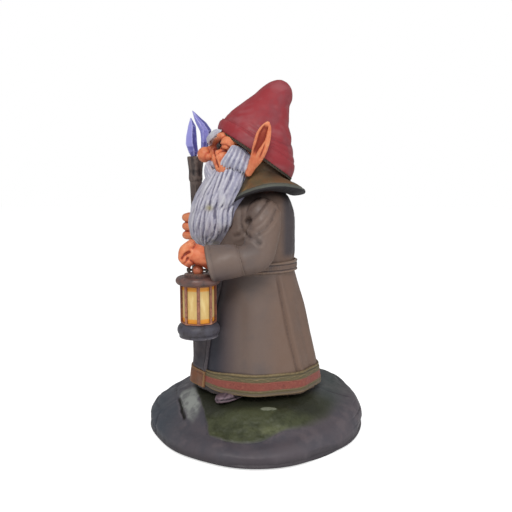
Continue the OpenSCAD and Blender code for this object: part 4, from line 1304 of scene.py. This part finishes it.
CAD_PAINTS = {
    "base_pad": worn_paint("foam_paint", (40, 40, 42), (52, 52, 54), (70, 70, 72), 0.9),
    "fill_plug": worn_paint("plug_paint", (24, 24, 26), (34, 34, 36), (60, 60, 62), 0.7),
    "figure_screws": worn_paint("steel_paint", (170, 170, 172), (130, 130, 134), (210, 210, 212), 0.35),
    "lantern_base": worn_paint("lantern_base_paint", (76, 74, 84), (64, 60, 66), (140, 134, 140), 0.42),
    "lantern_cage": worn_paint("lantern_bar_paint", (128, 78, 66), (104, 64, 60), (196, 138, 106), 0.45),
    "lantern_panes": pane_paint(),
    "lantern_roof": worn_paint("lantern_roof_paint", (112, 82, 76), (86, 72, 70), (190, 156, 130), 0.42),
    "lantern_finial": worn_paint("finial_paint", (222, 132, 100), (190, 104, 76), (244, 180, 140), 0.4),
    "lantern_bail": worn_paint("wire_paint", (62, 56, 54), (46, 42, 42), (120, 110, 100), 0.4),
    "bail_pin": worn_paint("pin_paint", (96, 90, 84), (70, 64, 60), (160, 150, 140), 0.35),
    "led_board": worn_paint("board_paint", (30, 88, 52), (24, 70, 44), (90, 140, 100), 0.5),
    "led_lamp": worn_paint("lamp_paint", (236, 232, 214), (226, 220, 196), (248, 246, 236), 0.25),
    "battery_cover": worn_paint("cover_paint", (70, 68, 78), (58, 56, 62), (126, 122, 128), 0.5),
    "switch_slider": worn_paint("switch_paint", (26, 26, 28), (38, 38, 40), (80, 80, 82), 0.5),
}
INNER = CAD_PAINTS["figure_screws"]
for name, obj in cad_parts.items():
    paint = CAD_PAINTS.get(name, INNER)
    obj.data.materials.clear()
    obj.data.materials.append(paint)

# ---------------------------------------------------------------- stage

FLOOR_SIZE = 6.0  # metres from its middle to each side
floor_mesh = bpy.data.meshes.new("floor")
corners = [(x * FLOOR_SIZE, y * FLOOR_SIZE, 0) for x, y in ((-1, -1), (1, -1), (1, 1), (-1, 1))]
floor_mesh.from_pydata(corners, [], [(0, 1, 2, 3)])
floor = bpy.data.objects.new("floor", floor_mesh)
bpy.context.scene.collection.objects.link(floor)
floor_paint = Paint("floor_paint", 0.8, 0.1)
floor_paint.coat((250, 250, 250))
floor_paint.shader.inputs["Emission Color"].default_value = (1, 1, 1, 1)
floor_ray = floor_paint.node("ShaderNodeLightPath").outputs["Is Camera Ray"]
floor_paint.link(floor_paint.times(floor_ray, 0.6), floor_paint.shader.inputs["Emission Strength"])
floor_mesh.materials.append(floor_paint.finish(0.001, 20, 0.05))

# the backdrop is white to the camera and dimmer as a light
world = bpy.context.scene.world or bpy.data.worlds.new("world")
bpy.context.scene.world = world
world.use_nodes = True
sky = world.node_tree
sky.nodes["Background"].inputs["Color"].default_value = (1, 1, 1, 1)
level = sky.nodes.new("ShaderNodeMapRange")
level.inputs["To Min"].default_value, level.inputs["To Max"].default_value = 0.42, 1.0
sky.links.new(sky.nodes.new("ShaderNodeLightPath").outputs["Is Camera Ray"], level.inputs["Value"])
sky.links.new(level.outputs["Result"], sky.nodes["Background"].inputs["Strength"])


def area_light(name, place, target, size, power, colour=(1, 1, 1)):
    data = bpy.data.lights.new(name, "AREA")
    data.size, data.energy, data.color = size, power, colour
    light = bpy.data.objects.new(name, data)
    light.location = place
    light.rotation_euler = (Vector(target) - Vector(place)).to_track_quat("-Z", "Y").to_euler()
    bpy.context.scene.collection.objects.link(light)


CHEST = (0, 0, 0.16)
area_light("key", (0.9, -0.15, 1.0), CHEST, 0.6, 8, (1, 0.98, 0.95))
area_light("fill", (0.6, 0.9, 0.6), CHEST, 0.9, 3, (0.94, 0.97, 1))

EYE_AT, LOOK_AT = Vector((0.521, 0, 0.224)), Vector((0, 0, 0.160))
camera_data = bpy.data.cameras.new("camera")
camera_data.lens, camera_data.sensor_width = 39.375, 36.0
camera_data.clip_start = 0.01
camera = bpy.data.objects.new("camera", camera_data)
camera.location = EYE_AT
camera.rotation_euler = (LOOK_AT - EYE_AT).to_track_quat("-Z", "Y").to_euler()
bpy.context.scene.collection.objects.link(camera)
bpy.context.scene.camera = camera
bpy.context.scene.view_settings.view_transform = "Standard"
bpy.context.scene.view_settings.look = "None"
